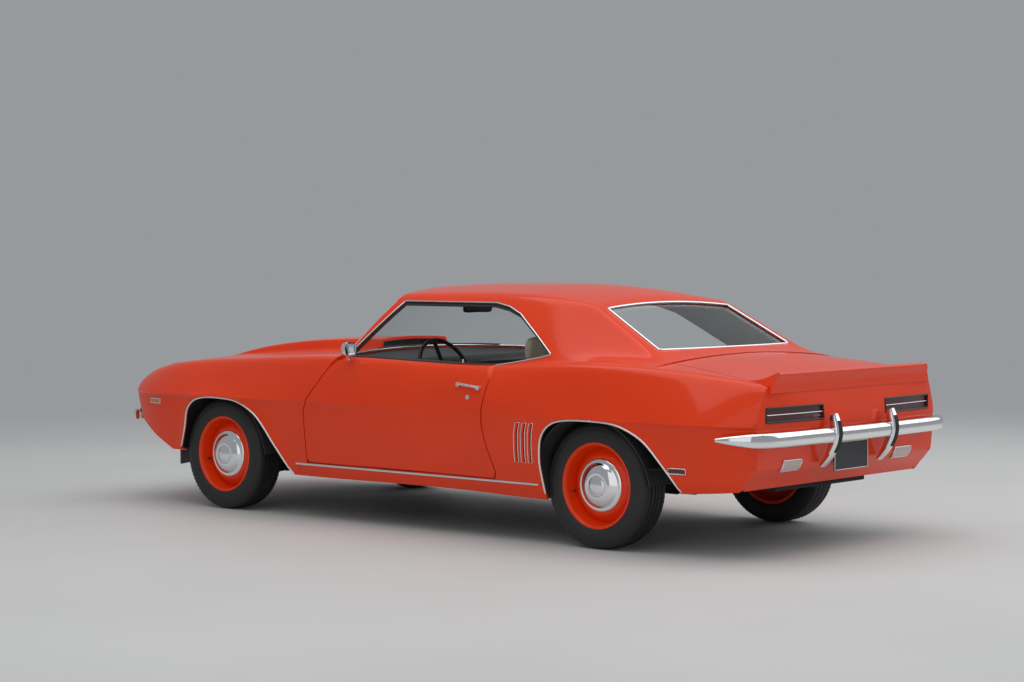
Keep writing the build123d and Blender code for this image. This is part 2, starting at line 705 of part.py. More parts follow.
# Seats and inside mirror
cushion = block(-350, 150, *SEAT_Y, 300, 430) + block(-300, 100, 180, 580, 246.3, 310)
back = side_prism(SEAT_BACK, SEAT_Y[0] + 10, SEAT_Y[1] - 10)
rest = side_prism(HEAD_REST, SEAT_Y[0] + 110, SEAT_Y[1] - 110)
save(both_sides(cushion + back + rest), "front_seats")
bench = side_prism(BENCH, -560, 560) + side_prism(BENCH_BACK, -590, 590)
save(bench - rod_x(0, FLOOR_Z, -500, -1100, TUNNEL_RADIUS + SEAT_FIT), "rear_seat")
stem_form = both_sides(cabin_half(30 + SEAT_FIT, 0, 36 + SEAT_FIT, 64))
stem = block(221, 233, -6, 6, 1165, 1320)
mirror_case = Pos(225, 0, 1165) * Rot(0, 8, 0) * Box(24, 230, 62)
save((stem & stem_form) + mirror_case, "cabin_mirror")

# Tyres and wheels, turned about the axle
tyre = revolve(outline(TYRE), Axis.Y)
wheel = revolve(outline(WHEEL), Axis.Y)
for name, axle_x in (("front", FRONT_AXLE_X), ("rear", REAR_AXLE_X)):
    place = Pos(axle_x, TRACK / 2, TYRE_RADIUS)
    save(place * tyre, f"tyre_{name}_left")
    save(place * wheel, f"wheel_{name}_left")
    save(other_side(place * tyre), f"tyre_{name}_right")
    save(other_side(place * wheel), f"wheel_{name}_right")
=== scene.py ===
"""The looks of a two-door hardtop muscle car: painted panels, bright trim, tyres, cabin and a plain studio.

Tables and outlines are in millimetres in the car's own frame: X forward, Y left, Z up from the road.
"""
from math import cos, pi, radians, sin

import bmesh
import bpy
import numpy as np
from mathutils import Matrix, Vector
from mathutils.bvhtree import BVHTree
from mathutils.geometry import delaunay_2d_cdt


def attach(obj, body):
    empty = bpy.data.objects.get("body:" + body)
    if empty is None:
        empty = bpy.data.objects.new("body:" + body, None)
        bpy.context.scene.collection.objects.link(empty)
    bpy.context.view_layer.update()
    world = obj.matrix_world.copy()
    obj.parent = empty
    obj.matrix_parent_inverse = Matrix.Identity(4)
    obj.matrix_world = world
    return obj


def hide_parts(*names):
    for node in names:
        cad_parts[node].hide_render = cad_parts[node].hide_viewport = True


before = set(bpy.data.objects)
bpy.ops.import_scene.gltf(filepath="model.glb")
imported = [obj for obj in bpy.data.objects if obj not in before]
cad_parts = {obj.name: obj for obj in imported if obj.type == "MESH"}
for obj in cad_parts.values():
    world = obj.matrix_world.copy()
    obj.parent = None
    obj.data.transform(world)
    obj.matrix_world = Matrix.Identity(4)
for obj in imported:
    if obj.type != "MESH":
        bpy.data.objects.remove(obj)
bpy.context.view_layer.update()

bl_info = {
    "name": "Hardtop muscle car looks",
    "version": (1, 0, 0),
    "blender": (4, 5, 0),
    "location": "View3D > Sidebar > Car",
    "description": "Builds the painted panels, trim, tyres, cabin and studio of a two-door hardtop",
    "category": "Object",
}

MM = 0.001
SIDES = ((1, "left"), (-1, "right"))
MIRRORED = np.array((1, -1, 1))
STEP = 18

FRONT_AXLE_X = 1432.0
REAR_AXLE_X = -1311.0
AXLE_Z = 316.0
WHEEL_Y = 756.0
KNEE_RISE = 60.0
KNEE_OUT = 26.0
ROCKER_SWELL = 16.0
CREASE_Z = 650.0
SHOULDER_ROUND = 28.0
RAIL_ROUND = 66.0
CROWN_SHARE = 0.46
LIP_OUT = 9.0
LIP_REACH = 42.0
NOSE_SWEEP = 0.106
SPOILER_TOP_Z = 904.0

# The hollow under the crease: its depth, and how far below the crease it is full and fades out
HOLLOW_DEPTH = 7.0
HOLLOW_START = 12.0
HOLLOW_REACH = 90.0

# The trunk lid's front edge, its half-width there, the gap to its opening and its thickness
LID_X = -1640.0
LID_Y = 640.0
LID_GAP = 6.0
LID_WALL = 16.0
GLASS_WALL = 5.0
OPENING_X = LID_X + LID_GAP
OPENING_Y = LID_Y + LID_GAP

# Windscreen and rear window: height of the foot, and run in x for each millimetre of height
SCREEN_FOOT_Z = 910.0
SCREEN_SLOPE = 0.906
REAR_FOOT_Z = 985.0
REAR_SLOPE = 1.86

# How far up the skin of the body side the knee, the crease, both ends of the shoulder and the centre lie
KNEE_S, CREASE_S, ROUND_S, TOP_S, CENTRE_S = 66.0, 422.0, 612.0, 660.0, 1420.0
CREASE_ROWS = [CREASE_S + d for d in (-40, -26, -16, -11, -6, 0, 6)]

# Body sections from nose to tail, and how sharp the crease is at each
STATIONS = [
    # x, sill_y, sill_z, crease_y, shoulder_y, shoulder_z, deck_z, crease sharpness
    (2340, 690, 250, 760, 680, 722, 755, 0.6),
    (2130, 790, 245, 850, 738, 782, 815, 0.8),
    (1780, 840, 240, 905, 772, 836, 868, 1.0),
    (1300, 852, 238, 924, 802, 867, 903, 1.0),
    (500, 856, 236, 924, 846, 902, 933, 0.7),
    (-600, 858, 236, 928, 858, 890, 930, 0.0),
    (-1250, 860, 240, 940, 852, 916, 965, 0.6),
    (-1700, 850, 300, 928, 822, 902, 950, 1.0),
    (-2080, 810, 330, 886, 770, 868, 880, 1.0),
    (-2340, 720, 360, 752, 702, 828, 835, 1.0),
]

# Cabin sections from cowl to deck
CABIN = [
    # x, foot_y, foot_z, swell of the side, rail_y, rail_z, roof_z
    (820, 830, 876, 20, 592, 1190, 1240),
    (300, 836, 880, 24, 606, 1212, 1286),
    (-300, 840, 876, 24, 612, 1219, 1304),
    (-900, 836, 888, 4, 602, 1206, 1270),
    (-1300, 826, 902, -36, 570, 1150, 1178),
    (-1800, 784, 882, -72, 500, 1060, 1070),
]

# Height and x of the nose and the tail on the centre line
NOSE = [(323, 1936), (404, 2110), (485, 2246), (600, 2302), (700, 2322), (757, 2264), (799, 2146),
        (960, 1700)]
TAIL = [(320, -2130), (372, -2165), (450, -2240), (545, -2250), (600, -2285), (640, -2285), (812, -2262)]

# Side view outlines as x and height
DOOR_EDGE = [(-648, 800), (-622, 660), (-622, 590), (-640, 505), (-694, 350), (-680, 320), (676, 320),
             (692, 340), (692, 600), (657, 672), (539, 836), (452, 909)]
QUARTER_EDGE = [(-656, 808), (-630, 660), (-630, 590), (-648, 505), (-702, 350), (-690, 312), (684, 312),
                (700, 313), (760, 313)]
FENDER_EDGE = [(760, 313), (700, 313), (700, 604), (665, 676), (547, 840), (524, 872)]
WINDOW_TOP = [(438, 908), (196, 1206), (-470, 1206), (-575, 1187), (-672, 1150), (-820, 1056), (-974, 954)]
WINDOW_SILL = [(-974, 954), (-900, 936), (-747, 908), (-646, 893)]


class Curve:
    """A smooth curve through values at given places."""

    def __init__(self, at, values):
        order = np.argsort(at)
        self.at = np.asarray(at, float)[order]
        self.values = np.asarray(values, float)[order]
        n = len(self.at)
        gap = np.diff(self.at)
        slope = np.diff(self.values) / gap
        matrix = np.eye(n)
        right = np.zeros(n)
        for i in range(1, n - 1):
            matrix[i, i - 1:i + 2] = gap[i - 1], 2 * (gap[i - 1] + gap[i]), gap[i]
            right[i] = 6 * (slope[i] - slope[i - 1])
        self.bend = np.linalg.solve(matrix, right)

    def __call__(self, x):
        x = np.clip(np.asarray(x, float), self.at[0], self.at[-1])
        i = np.clip(np.searchsorted(self.at, x) - 1, 0, len(self.at) - 2)
        gap = self.at[i + 1] - self.at[i]
        a = (self.at[i + 1] - x) / gap
        b = 1 - a
        curved = ((a ** 3 - a) * self.bend[i] + (b ** 3 - b) * self.bend[i + 1]) * gap ** 2 / 6
        return a * self.values[i] + b * self.values[i + 1] + curved


def curves(table):
    """A curve for each further column of a table, by its first."""
    columns = list(zip(*table))
    return [Curve(columns[0], values) for values in columns[1:]]


SILL_Y, SILL_Z, CREASE_Y, SHOULDER_Y, SHOULDER_Z, DECK_Z, SHARPNESS = curves(STATIONS)
FOOT_Y, FOOT_Z, SWELL, RAIL_Y, RAIL_Z, ROOF_Z = curves(CABIN)
SCOOP_Z = Curve([-500, 742, 1100, 1451, 1672, 1898, 2010, 2100], [988, 988, 976, 950, 920, 872, 838, 800])


def same(a, b):
    """Two values as arrays of one shape."""
    return np.broadcast_arrays(np.asarray(a, float), np.asarray(b, float))


def stack(*columns):
    """Points as rows from columns of their coordinates; a single number fills its column."""
    return np.column_stack(np.broadcast_arrays(*[np.asarray(c, float) for c in columns]))


def run(a, b, step):
    """Evenly spaced values from a to b, both kept."""
    return np.linspace(a, b, max(int(round(abs(b - a) / step)), 1) + 1)


def bisected(holds, low, high):
    """Where a test that holds at low stops holding on the way to high, for numbers or arrays."""
    for _ in range(40):
        middle = (low + high) / 2
        still = holds(middle)
        low = np.where(still, middle, low)
        high = np.where(still, high, middle)
    return (low + high) / 2


def distance_along(points):
    """How far along a line each of its points lies."""
    return np.concatenate([[0], np.cumsum(np.linalg.norm(np.diff(points, axis=0), axis=1))])


def rounded(points, step):
    """A smooth open line through points, sampled about every step."""
    points = np.asarray(points, float)
    along = distance_along(points)
    at = np.linspace(0, along[-1], max(int(along[-1] / step), 2) + 1)
    return np.column_stack([Curve(along, column)(at) for column in points.T])


def straight(points, step):
    """An open line of straight runs, sampled about every step, its corners kept."""
    points = np.asarray(points, float)
    out = [points[:1]]
    for a, b in zip(points[:-1], points[1:]):
        n = max(int(round(np.linalg.norm(b - a) / step)), 1)
        out.append(a + (b - a) * (np.arange(1, n + 1) / n)[:, None])
    return np.concatenate(out)


def box(y0, y1, z0, z1, step):
    """A rectangle as a sampled line that ends where it starts."""
    return straight([(y0, z0), (y1, z0), (y1, z1), (y0, z1), (y0, z0)], step)


def left_of(line):
    """Unit normals on the left of a line in a plane."""
    along = np.gradient(line, axis=0)
    normal = np.column_stack([-along[:, 1], along[:, 0]])
    return normal / np.linalg.norm(normal, axis=1)[:, None]


def smooth_top(a, b, reach):
    """The higher of two heights, blended where they are within reach of each other."""
    reach = np.maximum(reach, 1e-6)
    part = np.clip(0.5 + 0.5 * (a - b) / reach, 0, 1)
    return b + (a - b) * part + reach * part * (1 - part)


def top_edge_y(x):
    """Half-width at which the shoulder's rounding ends and the body's top begins."""
    return SHOULDER_Y(x) - SHOULDER_ROUND


def round_start_z(x):
    """Height at which the body side turns into the shoulder's rounding."""
    return SHOULDER_Z(x) - SHOULDER_ROUND


def deck_z(x, y):
    """Height of the lower body's top: hood, cowl and deck."""
    part = np.abs(y) / SHOULDER_Y(x)
    return DECK_Z(x) - (DECK_Z(x) - SHOULDER_Z(x)) * part ** 2


def side_y(x, z):
    """Half-width of the body side below the shoulder's rounding, without the wheel lips."""
    x, z = same(x, z)
    sharp = np.clip(SHARPNESS(x), 0, 1)
    knee_y = SILL_Y(x) + KNEE_OUT
    knee_z = SILL_Z(x) + KNEE_RISE
    t = (z - SILL_Z(x)) / KNEE_RISE
    rocker = SILL_Y(x) + KNEE_OUT * t + ROCKER_SWELL * t * (1 - t)
    t = (z - knee_z) / (CREASE_Z - knee_z)
    swell = 9 - 11 * sharp
    lower = knee_y + (CREASE_Y(x) - knee_y) * t + 4 * swell * t * (1 - t)
    under = np.clip(CREASE_Z - z, 0, None)
    hollow = np.clip(under / HOLLOW_START, 0, 1) * np.exp(-(under / HOLLOW_REACH) ** 2)
    lower = lower - HOLLOW_DEPTH * sharp * hollow
    t = (z - CREASE_Z) / (SHOULDER_Z(x) - CREASE_Z)
    swell = 19 - 13 * sharp
    upper = CREASE_Y(x) + (SHOULDER_Y(x) - CREASE_Y(x)) * t + 4 * swell * t * (1 - t)
    return np.where(z < knee_z, rocker, np.where(z < CREASE_Z, lower, upper))


def side_s(x, z):
    """How far up the skin a height on the body side lies."""
    x, z = same(x, z)
    knee_z = SILL_Z(x) + KNEE_RISE
    round_z = round_start_z(x)
    top_z = deck_z(x, top_edge_y(x))
    s = KNEE_S * (z - SILL_Z(x)) / KNEE_RISE
    s = np.where(z > knee_z, KNEE_S + (CREASE_S - KNEE_S) * (z - knee_z) / (CREASE_Z - knee_z), s)
    s = np.where(z > CREASE_Z, CREASE_S + (ROUND_S - CREASE_S) * (z - CREASE_Z) / (round_z - CREASE_Z), s)
    a = round_z - 2 * SHOULDER_Z(x) + top_z
    b = 2 * (SHOULDER_Z(x) - round_z)
    root = np.sqrt(np.maximum(b * b - 4 * a * (round_z - np.minimum(z, top_z)), 0))
    t = np.clip((-b + root) / (2 * a), 0, 1)
    return np.where(z > round_z, ROUND_S + (TOP_S - ROUND_S) * t, s)


def top_s(x, y):
    """How far up the skin a half-width on the body's top lies."""
    edge = top_edge_y(x)
    return TOP_S + (CENTRE_S - TOP_S) * (edge - y) / edge


def arch_line(axle_x, front, front_foot, rear):
    """The edge of a wheel opening in side view, from front to rear."""
    bends = [(front_foot, 250), (front - 1, 500), (front - 16, 550), (front - 52, 596), (front - 100, 624),
             (front - 155, 637), (40, 644), (-80, 643), (-150, 638), (-215, 624), (-280, 598), (-345, 560),
             (-420, 482), (-510, 362), (-rear, 236)]
    return rounded([(axle_x + dx, z) for dx, z in bends], 12)


FRONT_ARCH = arch_line(FRONT_AXLE_X, 266, 386, 610)
REAR_ARCH = arch_line(REAR_AXLE_X, 294, 294, 575)


def flare(x, z):
    """How far a wheel lip stands out of the body side."""
    x, z = same(x, z)
    out = np.zeros(x.shape)
    for line in (FRONT_ARCH, REAR_ARCH):
        away = np.full(x.shape, 1e9)
        for px, pz in line[::2]:
            away = np.minimum(away, (x - px) ** 2 + (z - pz) ** 2)
        out = np.maximum(out, LIP_OUT * np.exp(-away / LIP_REACH ** 2) * np.clip((z - 300) / 120, 0, 1))
    return out


def skin_y(x, z):
    """Half-width of the body side with its wheel lips."""
    return side_y(x, z) + flare(x, z)


def lift_side(x, s):
    """Points of the body side at x, at s up its skin."""
    x, s = same(x, s)
    knee_z = SILL_Z(x) + KNEE_RISE
    round_z = round_start_z(x)
    z = SILL_Z(x) + KNEE_RISE * s / KNEE_S
    z = np.where(s > KNEE_S, knee_z + (CREASE_Z - knee_z) * (s - KNEE_S) / (CREASE_S - KNEE_S), z)
    z = np.where(s > CREASE_S, CREASE_Z + (round_z - CREASE_Z) * (s - CREASE_S) / (ROUND_S - CREASE_S), z)
    z = np.minimum(z, round_z)
    y = skin_y(x, z)
    edge = top_edge_y(x)
    t = np.clip((s - ROUND_S) / (TOP_S - ROUND_S), 0, 1)
    turn_y = (1 - t) ** 2 * side_y(x, round_z) + 2 * t * (1 - t) * SHOULDER_Y(x) + t ** 2 * edge
    turn_z = (1 - t) ** 2 * round_z + 2 * t * (1 - t) * SHOULDER_Z(x) + t ** 2 * deck_z(x, edge)
    y = np.where(s > ROUND_S, turn_y, y)
    z = np.where(s > ROUND_S, turn_z, z)
    flat_y = edge * (1 - (s - TOP_S) / (CENTRE_S - TOP_S))
    y = np.where(s > TOP_S, flat_y, y)
    z = np.where(s > TOP_S, deck_z(x, flat_y), z)
    return stack(x, y, z)


def cabin_z(x, y):
    """Height of the cabin's outer form over a point in plan."""
    x, y = same(x, np.abs(y))
    rail_y, rail_z, roof_z = RAIL_Y(x), RAIL_Z(x), ROOF_Z(x)
    crown_y = rail_y - RAIL_ROUND
    crown_z = rail_z + CROWN_SHARE * (roof_z - rail_z)
    roof = roof_z - (roof_z - crown_z) * (y / crown_y) ** 2
    width = FOOT_Y(x) - rail_y
    t = (y - rail_y) / width
    side = rail_z + (FOOT_Z(x) - rail_z) * t + 4 * SWELL(x) * t * (1 - t)
    slope_in = -2 * (roof_z - crown_z) / crown_y * RAIL_ROUND
    slope_out = (FOOT_Z(x) - rail_z + 4 * SWELL(x)) / width * RAIL_ROUND
    t = np.clip((y - crown_y) / RAIL_ROUND, 0, 1)
    bend = (2 * t ** 3 - 3 * t ** 2 + 1) * crown_z + (t ** 3 - 2 * t ** 2 + t) * slope_in
    bend = bend + (3 * t ** 2 - 2 * t ** 3) * rail_z + (t ** 3 - t ** 2) * slope_out
    return np.where(y < crown_y, roof, np.where(y < rail_y, bend, side))


def cabin_y(x, z):
    """Half-width of the cabin side at a height."""
    return bisected(lambda y: cabin_z(x, y) > z, RAIL_Y(x) - 60, FOOT_Y(x) + 80)


def bow(y, middle, sweep, half):
    """The x of a bowed line in plan: middle on the centre line, sweep further on at the half-width."""
    return middle + sweep * (np.asarray(y, float) / half) ** 2


def screen_foot_x(y):
    """Foot of the windscreen in plan."""
    return bow(y, 632, -201, 900)


def rear_foot_x(y):
    """Foot of the rear window in plan."""
    return bow(y, -1530, 90, 900)


def hood_rear_x(y):
    """Rear edge of the hood in plan."""
    return bow(y, 735, -131, 700)


def hood_front_x(y):
    """Front edge of the hood in plan."""
    return bow(y, 2196, -84, 640)


def hood_y(x):
    """Half-width of the opening for the hood."""
    rear_x, rear_y = 604, 707
    taper, length = 60, 1508
    return rear_y - taper * (x - rear_x) / length


def lid_y(x):
    """Half-width of the opening for the trunk lid."""
    widening, length = 86, 672
    return OPENING_Y + widening * (LID_X - x) / length


def screen_z(x, y):
    """Height of the windscreen's surface."""
    return SCREEN_FOOT_Z + (screen_foot_x(y) - x) / SCREEN_SLOPE


def rear_glass_z(x, y):
    """Height of the rear window's surface."""
    return REAR_FOOT_Z + (x - rear_foot_x(y)) / REAR_SLOPE


def upper_z(x, y):
    """Height of roof, sail panels and deck together."""
    x, y = same(x, np.abs(y))
    cabin = -smooth_top(-cabin_z(x, y), -rear_glass_z(x, y), 14)
    inboard = np.clip((top_edge_y(x) - y) / 40, 0, 1)
    reach = 8 + 46 * np.clip((-950 - x) / 200, 0, 1)
    return smooth_top(cabin, deck_z(x, y), reach * inboard)


def scoop_z(x, y):
    """Height of the hood's raised scoop."""
    half = 258
    crown = SCOOP_Z(x) - 10 * (np.asarray(y, float) / half) ** 2
    side = 1000 - (np.abs(y) - half) * 2.6
    return -smooth_top(-crown, -side, 16)


def nose_x(y, z):
    """The front face of the body."""
    return np.interp(z, *zip(*NOSE)) - NOSE_SWEEP * np.abs(y)


def tail_x(y, z):
    """The rear face of the body."""
    return smooth_top(np.interp(z, *zip(*TAIL)), bow(y, -2285, 57, 950), 8)


def meets(s, face, near, far):
    """The x at which the body side at s meets the nose or the tail."""
    s = np.asarray(s, float)

    def inside(x):
        p = lift_side(x, s)
        return (p[:, 0] - face(p[:, 1], p[:, 2])) * np.sign(far - near) <= 0
    return bisected(inside, near, far)


def at_tail(s):
    """The x at which the body side at s meets the tail."""
    return meets(s, tail_x, -1500, -2335)


def width_s(x, y):
    """How far up the skin a half-width lies, on the shoulder's rounding or on the top."""
    s = bisected(lambda middle: lift_side(x, middle)[:, 1] > y, ROUND_S, TOP_S)
    return np.where(y <= top_edge_y(x), top_s(x, y), s)


def skin_line(line):
    """A side view line in x and z as a line in x and s."""
    return stack(line[:, 0], side_s(*line.T))


def on_skin(points, proud=0.0, step=14):
    """A side view line laid on the body side, standing proud of it."""
    x, z = straight(points, step).T
    return stack(x, skin_y(x, z) + proud, z)


def within(points, ring):
    """Which points lie inside a closed ring."""
    x, y = points[:, 0], points[:, 1]
    hit = np.zeros(len(points), bool)
    before = np.roll(ring, 1, axis=0)
    for (x1, y1), (x0, y0) in zip(ring, before):
        if y1 == y0:
            continue
        crosses = (y1 > y) != (y0 > y)
        hit ^= crosses & (x < (x0 - x1) * (y - y1) / (y0 - y1) + x1)
    return hit


def inside_net(points, rings):
    """Which points lie inside the first ring and outside the others."""
    good = within(points, rings[0])
    for hole in rings[1:]:
        good &= ~within(points, hole)
    return good


def net(ring, step, holes=(), rows=()):
    """A flat triangle net inside a ring and outside its holes, with a grid of a step and finer rows."""
    rings, edges, start = [], [], 0
    for r in (ring, *holes):
        r = np.asarray(r, float)
        r = r[np.linalg.norm(r - np.roll(r, 1, axis=0), axis=1) > 0.05]
        rings.append(r)
        edges += [(start + i, start + (i + 1) % len(r)) for i in range(len(r))]
        start += len(r)
    border = np.concatenate(rings)
    low, high = border.min(0), border.max(0)
    us = np.arange(low[0] + step / 2, high[0], step)
    vs = np.arange(low[1] + step / 2, high[1], step)
    if len(rows):
        vs = np.array([v for v in vs if np.abs(v - np.asarray(rows)).min() > step * 0.45] + list(rows))
    grid = np.array(np.meshgrid(us, vs)).reshape(2, -1).T
    grid = grid[inside_net(grid, rings)]
    room = np.full(len(grid), 1e9)
    for a in range(0, len(border), 64):
        gap = np.linalg.norm(grid[:, None] - border[None, a:a + 64], axis=2)
        room = np.minimum(room, gap.min(1))
    grid = grid[room > step * np.where(np.isin(grid[:, 1], rows), 0.3, 0.55)]
    every = np.concatenate([border, grid])
    verts, _, faces, *_ = delaunay_2d_cdt([Vector(p) for p in every], edges, [], 0, 1e-5)
    flat = np.array([(v.x, v.y) for v in verts])
    faces = np.array([f for f in faces if len(f) == 3])
    return flat, faces[inside_net(flat[faces].mean(1), rings)]


def side_net(ring):
    """A sheet of the body side inside a ring of x and s."""
    flat, faces = net(np.concatenate(ring), STEP, rows=CREASE_ROWS)
    return lift_side(*flat.T), faces


def plan_net(ring, height, step=STEP):
    """A sheet inside a ring in plan, at a height that depends on x and y."""
    flat, faces = net(np.concatenate(ring), step)
    return stack(*flat.T, height(*flat.T)), faces


def end_net(ring, face, step=STEP, holes=()):
    """A sheet on the nose or the tail inside a ring of y and z."""
    flat, faces = net(np.concatenate(ring), step, holes)
    return stack(face(*flat.T), *flat.T), faces


def outward(points, faces, towards):
    """The same faces, turned so that they point towards a direction on the whole."""
    a, b, c = points[faces[:, 0]], points[faces[:, 1]], points[faces[:, 2]]
    if np.cross(b - a, c - a).sum(0) @ np.asarray(towards, float) < 0:
        return faces[:, ::-1]
    return faces


def ring_grid(rows, closed=False):
    """Points and faces of a grid of equal rows; closed joins the last row to the first."""
    rows = [np.asarray(r, float) for r in rows]
    n = len(rows[0])
    faces = []
    for i in range(len(rows) - (0 if closed else 1)):
        j = (i + 1) % len(rows)
        for k in range(n - 1):
            faces.append((i * n + k, i * n + k + 1, j * n + k + 1, j * n + k))
    return np.concatenate(rows), faces


class Sheets:
    """Collects sheets of faces in millimetres and makes one object of them."""

    def __init__(self):
        self.points = []
        self.faces = []
        self.count = 0

    def add(self, points, faces, towards=None):
        """A sheet, turned towards a direction where one is given."""
        points = np.asarray(points, float)
        if towards is not None:
            faces = outward(points, np.asarray(faces), towards)
        self.points.append(points)
        self.faces += [[int(i) + self.count for i in f] for f in faces]
        self.count += len(points)
        return self

    def add_pair(self, points, faces, towards):
        """A sheet and its twin on the other side."""
        self.add(points, faces, towards)
        return self.add(points * MIRRORED, faces, towards * MIRRORED)

    def add_bar(self, rows):
        """A closed bar through equal rings of points, with both ends capped."""
        points, faces = ring_grid(rows)
        n = len(rows[0])
        last = (len(rows) - 1) * n
        return self.add(points, [*faces, range(n - 1)[::-1], range(last, last + n - 1)])

    def make(self, name, material, sharp=40, merge=0.6):
        """The object, with doubles within merge joined and edges past sharp degrees kept."""
        mesh = bpy.data.meshes.new(name)
        mesh.from_pydata((np.concatenate(self.points) * MM).tolist(), [], self.faces)
        return finished(mesh, name, material, sharp, merge)

    def put(self, name, finish, *nodes, body="car_body", slot=None, wall=0, lining=None, sharp=40,
            merge=0.6):
        """The object in a finish, with a wall and its lining, seated on a body for the nodes it replaces."""
        thing = self.make(name, look(finish), sharp, merge)
        if wall:
            walled(thing, wall, lining)
        return seat(thing, body, slot or SLOTS[finish], *nodes)


def linked(name, data):
    """A new object in the scene."""
    thing = bpy.data.objects.new(name, data)
    bpy.context.scene.collection.objects.link(thing)
    return thing


def finished(mesh, name, material, sharp, merge):
    """An object of a mesh: doubles merged, smooth, with sharp edges past an angle."""
    work = bmesh.new()
    work.from_mesh(mesh)
    if merge:
        bmesh.ops.remove_doubles(work, verts=work.verts, dist=merge * MM)
        bmesh.ops.dissolve_degenerate(work, edges=work.edges, dist=1e-6)
    for face in work.faces:
        face.smooth = True
    for edge in work.edges:
        edge.smooth = len(edge.link_faces) == 2 and edge.calc_face_angle(0) < radians(sharp)
    work.to_mesh(mesh)
    work.free()
    if material:
        mesh.materials.append(material)
    return linked(name, mesh)


def walled(thing, thickness, lining):
    """Gives a sheet its thickness, inward; the inner faces may take another finish."""
    wall = thing.modifiers.new("Wall", "SOLIDIFY")
    wall.thickness = thickness * MM
    wall.offset = -1
    wall.use_even_offset = False
    if lining:
        thing.data.materials.append(look(lining))
        wall.material_offset = 1


def seat(thing, body, slot, *nodes):
    """Puts a piece on its body and hides the nodes that it stands for; the slot is not used."""
    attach(thing, body)
    if nodes:
        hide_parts(*nodes)
    return thing


def copy_of(name, finish, slot=None, sharp=32):
    """A smooth copy of a CAD node that stands for it."""
    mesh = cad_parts[name].data.copy()
    mesh.materials.clear()
    mesh.name = name
    thing = finished(mesh, "look_" + name, look(finish), sharp, 0.02)
    return seat(thing, "car_body", slot or SLOTS[finish], name)


def node(tree, kind, **values):
    """A node with some of its sockets or settings set by name."""
    made = tree.nodes.new(kind)
    for key, value in values.items():
        if key in made.inputs:
            made.inputs[key].default_value = value
        else:
            setattr(made, key, value)
    return made


# Geometry Nodes that repeat a mesh evenly round the Y axis
RING_INPUTS = (("Count", "Int"), ("Turn", "Float"))
RING_NODES = {
    "spots": ("GeometryNodeMeshLine", {"Offset": (0, 0, 0)}),
    "index": ("GeometryNodeInputIndex", {}),
    "angle": ("ShaderNodeMath", {"operation": "MULTIPLY"}),
    "spin": ("ShaderNodeCombineXYZ", {}),
    "copies": ("GeometryNodeInstanceOnPoints", {}),
}
RING_LINKS = (
    ("start", "Count", "spots", "Count"),
    ("index", "Index", "angle", 0),
    ("start", "Turn", "angle", 1),
    ("angle", "Value", "spin", "Y"),
    ("spots", "Mesh", "copies", "Points"),
    ("start", "Geometry", "copies", "Instance"),
    ("spin", "Vector", "copies", "Rotation"),
    ("copies", "Instances", "real", "Geometry"),
)

# Geometry Nodes that run a round bead along every line of a mesh
BEAD_INPUTS = (("Radius", "Float"),)
BEAD_NODES = {
    "line": ("GeometryNodeMeshToCurve", {}),
    "section": ("GeometryNodeCurvePrimitiveCircle", {"Resolution": 10}),
    "sweep": ("GeometryNodeCurveToMesh", {"Fill Caps": True}),
    "smooth": ("GeometryNodeSetShadeSmooth", {}),
}
BEAD_LINKS = (
    ("start", "Geometry", "line", "Mesh"),
    ("start", "Radius", "section", "Radius"),
    ("line", "Curve", "sweep", "Curve"),
    ("section", "Curve", "sweep", "Profile Curve"),
    ("sweep", "Mesh", "smooth", "Geometry"),
    ("smooth", "Geometry", "real", "Geometry"),
)

# What both trees start and end with
END_NODES = {
    "start": ("NodeGroupInput", {}),
    "end": ("NodeGroupOutput", {}),
    "real": ("GeometryNodeRealizeInstances", {}),
    "paint": ("GeometryNodeSetMaterial", {}),
}
END_LINKS = (
    ("real", "Geometry", "paint", "Geometry"),
    ("start", "Finish", "paint", "Material"),
    ("paint", "Geometry", "end", "Geometry"),
)


def node_tree(name, inputs, nodes, links):
    """A Geometry Nodes tree from tables of its inputs, nodes and links, made once."""
    if name in bpy.data.node_groups:
        return bpy.data.node_groups[name]
    tree = bpy.data.node_groups.new(name, "GeometryNodeTree")
    for socket, kind in (("Geometry", "Geometry"), *inputs, ("Finish", "Material")):
        tree.interface.new_socket(socket, in_out="INPUT", socket_type="NodeSocket" + kind)
    tree.interface.new_socket("Geometry", in_out="OUTPUT", socket_type="NodeSocketGeometry")
    made = {key: node(tree, kind, **values) for key, (kind, values) in {**END_NODES, **nodes}.items()}
    for source, out, target, into in (*links, *END_LINKS):
        tree.links.new(made[source].outputs[out], made[target].inputs[into])
    return tree


def plain_mesh(thing):
    """The mesh that an object's modifiers make."""
    graph = bpy.context.evaluated_depsgraph_get()
    graph.update()
    return bpy.data.meshes.new_from_object(thing.evaluated_get(graph))


def grown(seed, tree, **values):
    """The plain mesh that a node tree makes of an object; the object itself is dropped."""
    modifier = seed.modifiers.new(tree.name, "NODES")
    modifier.node_group = tree
    for socket in tree.interface.items_tree:
        if socket.name in values and socket.in_out == "INPUT":
            modifier[socket.identifier] = values[socket.name]
    mesh = plain_mesh(seed)
    bpy.data.objects.remove(seed)
    return mesh


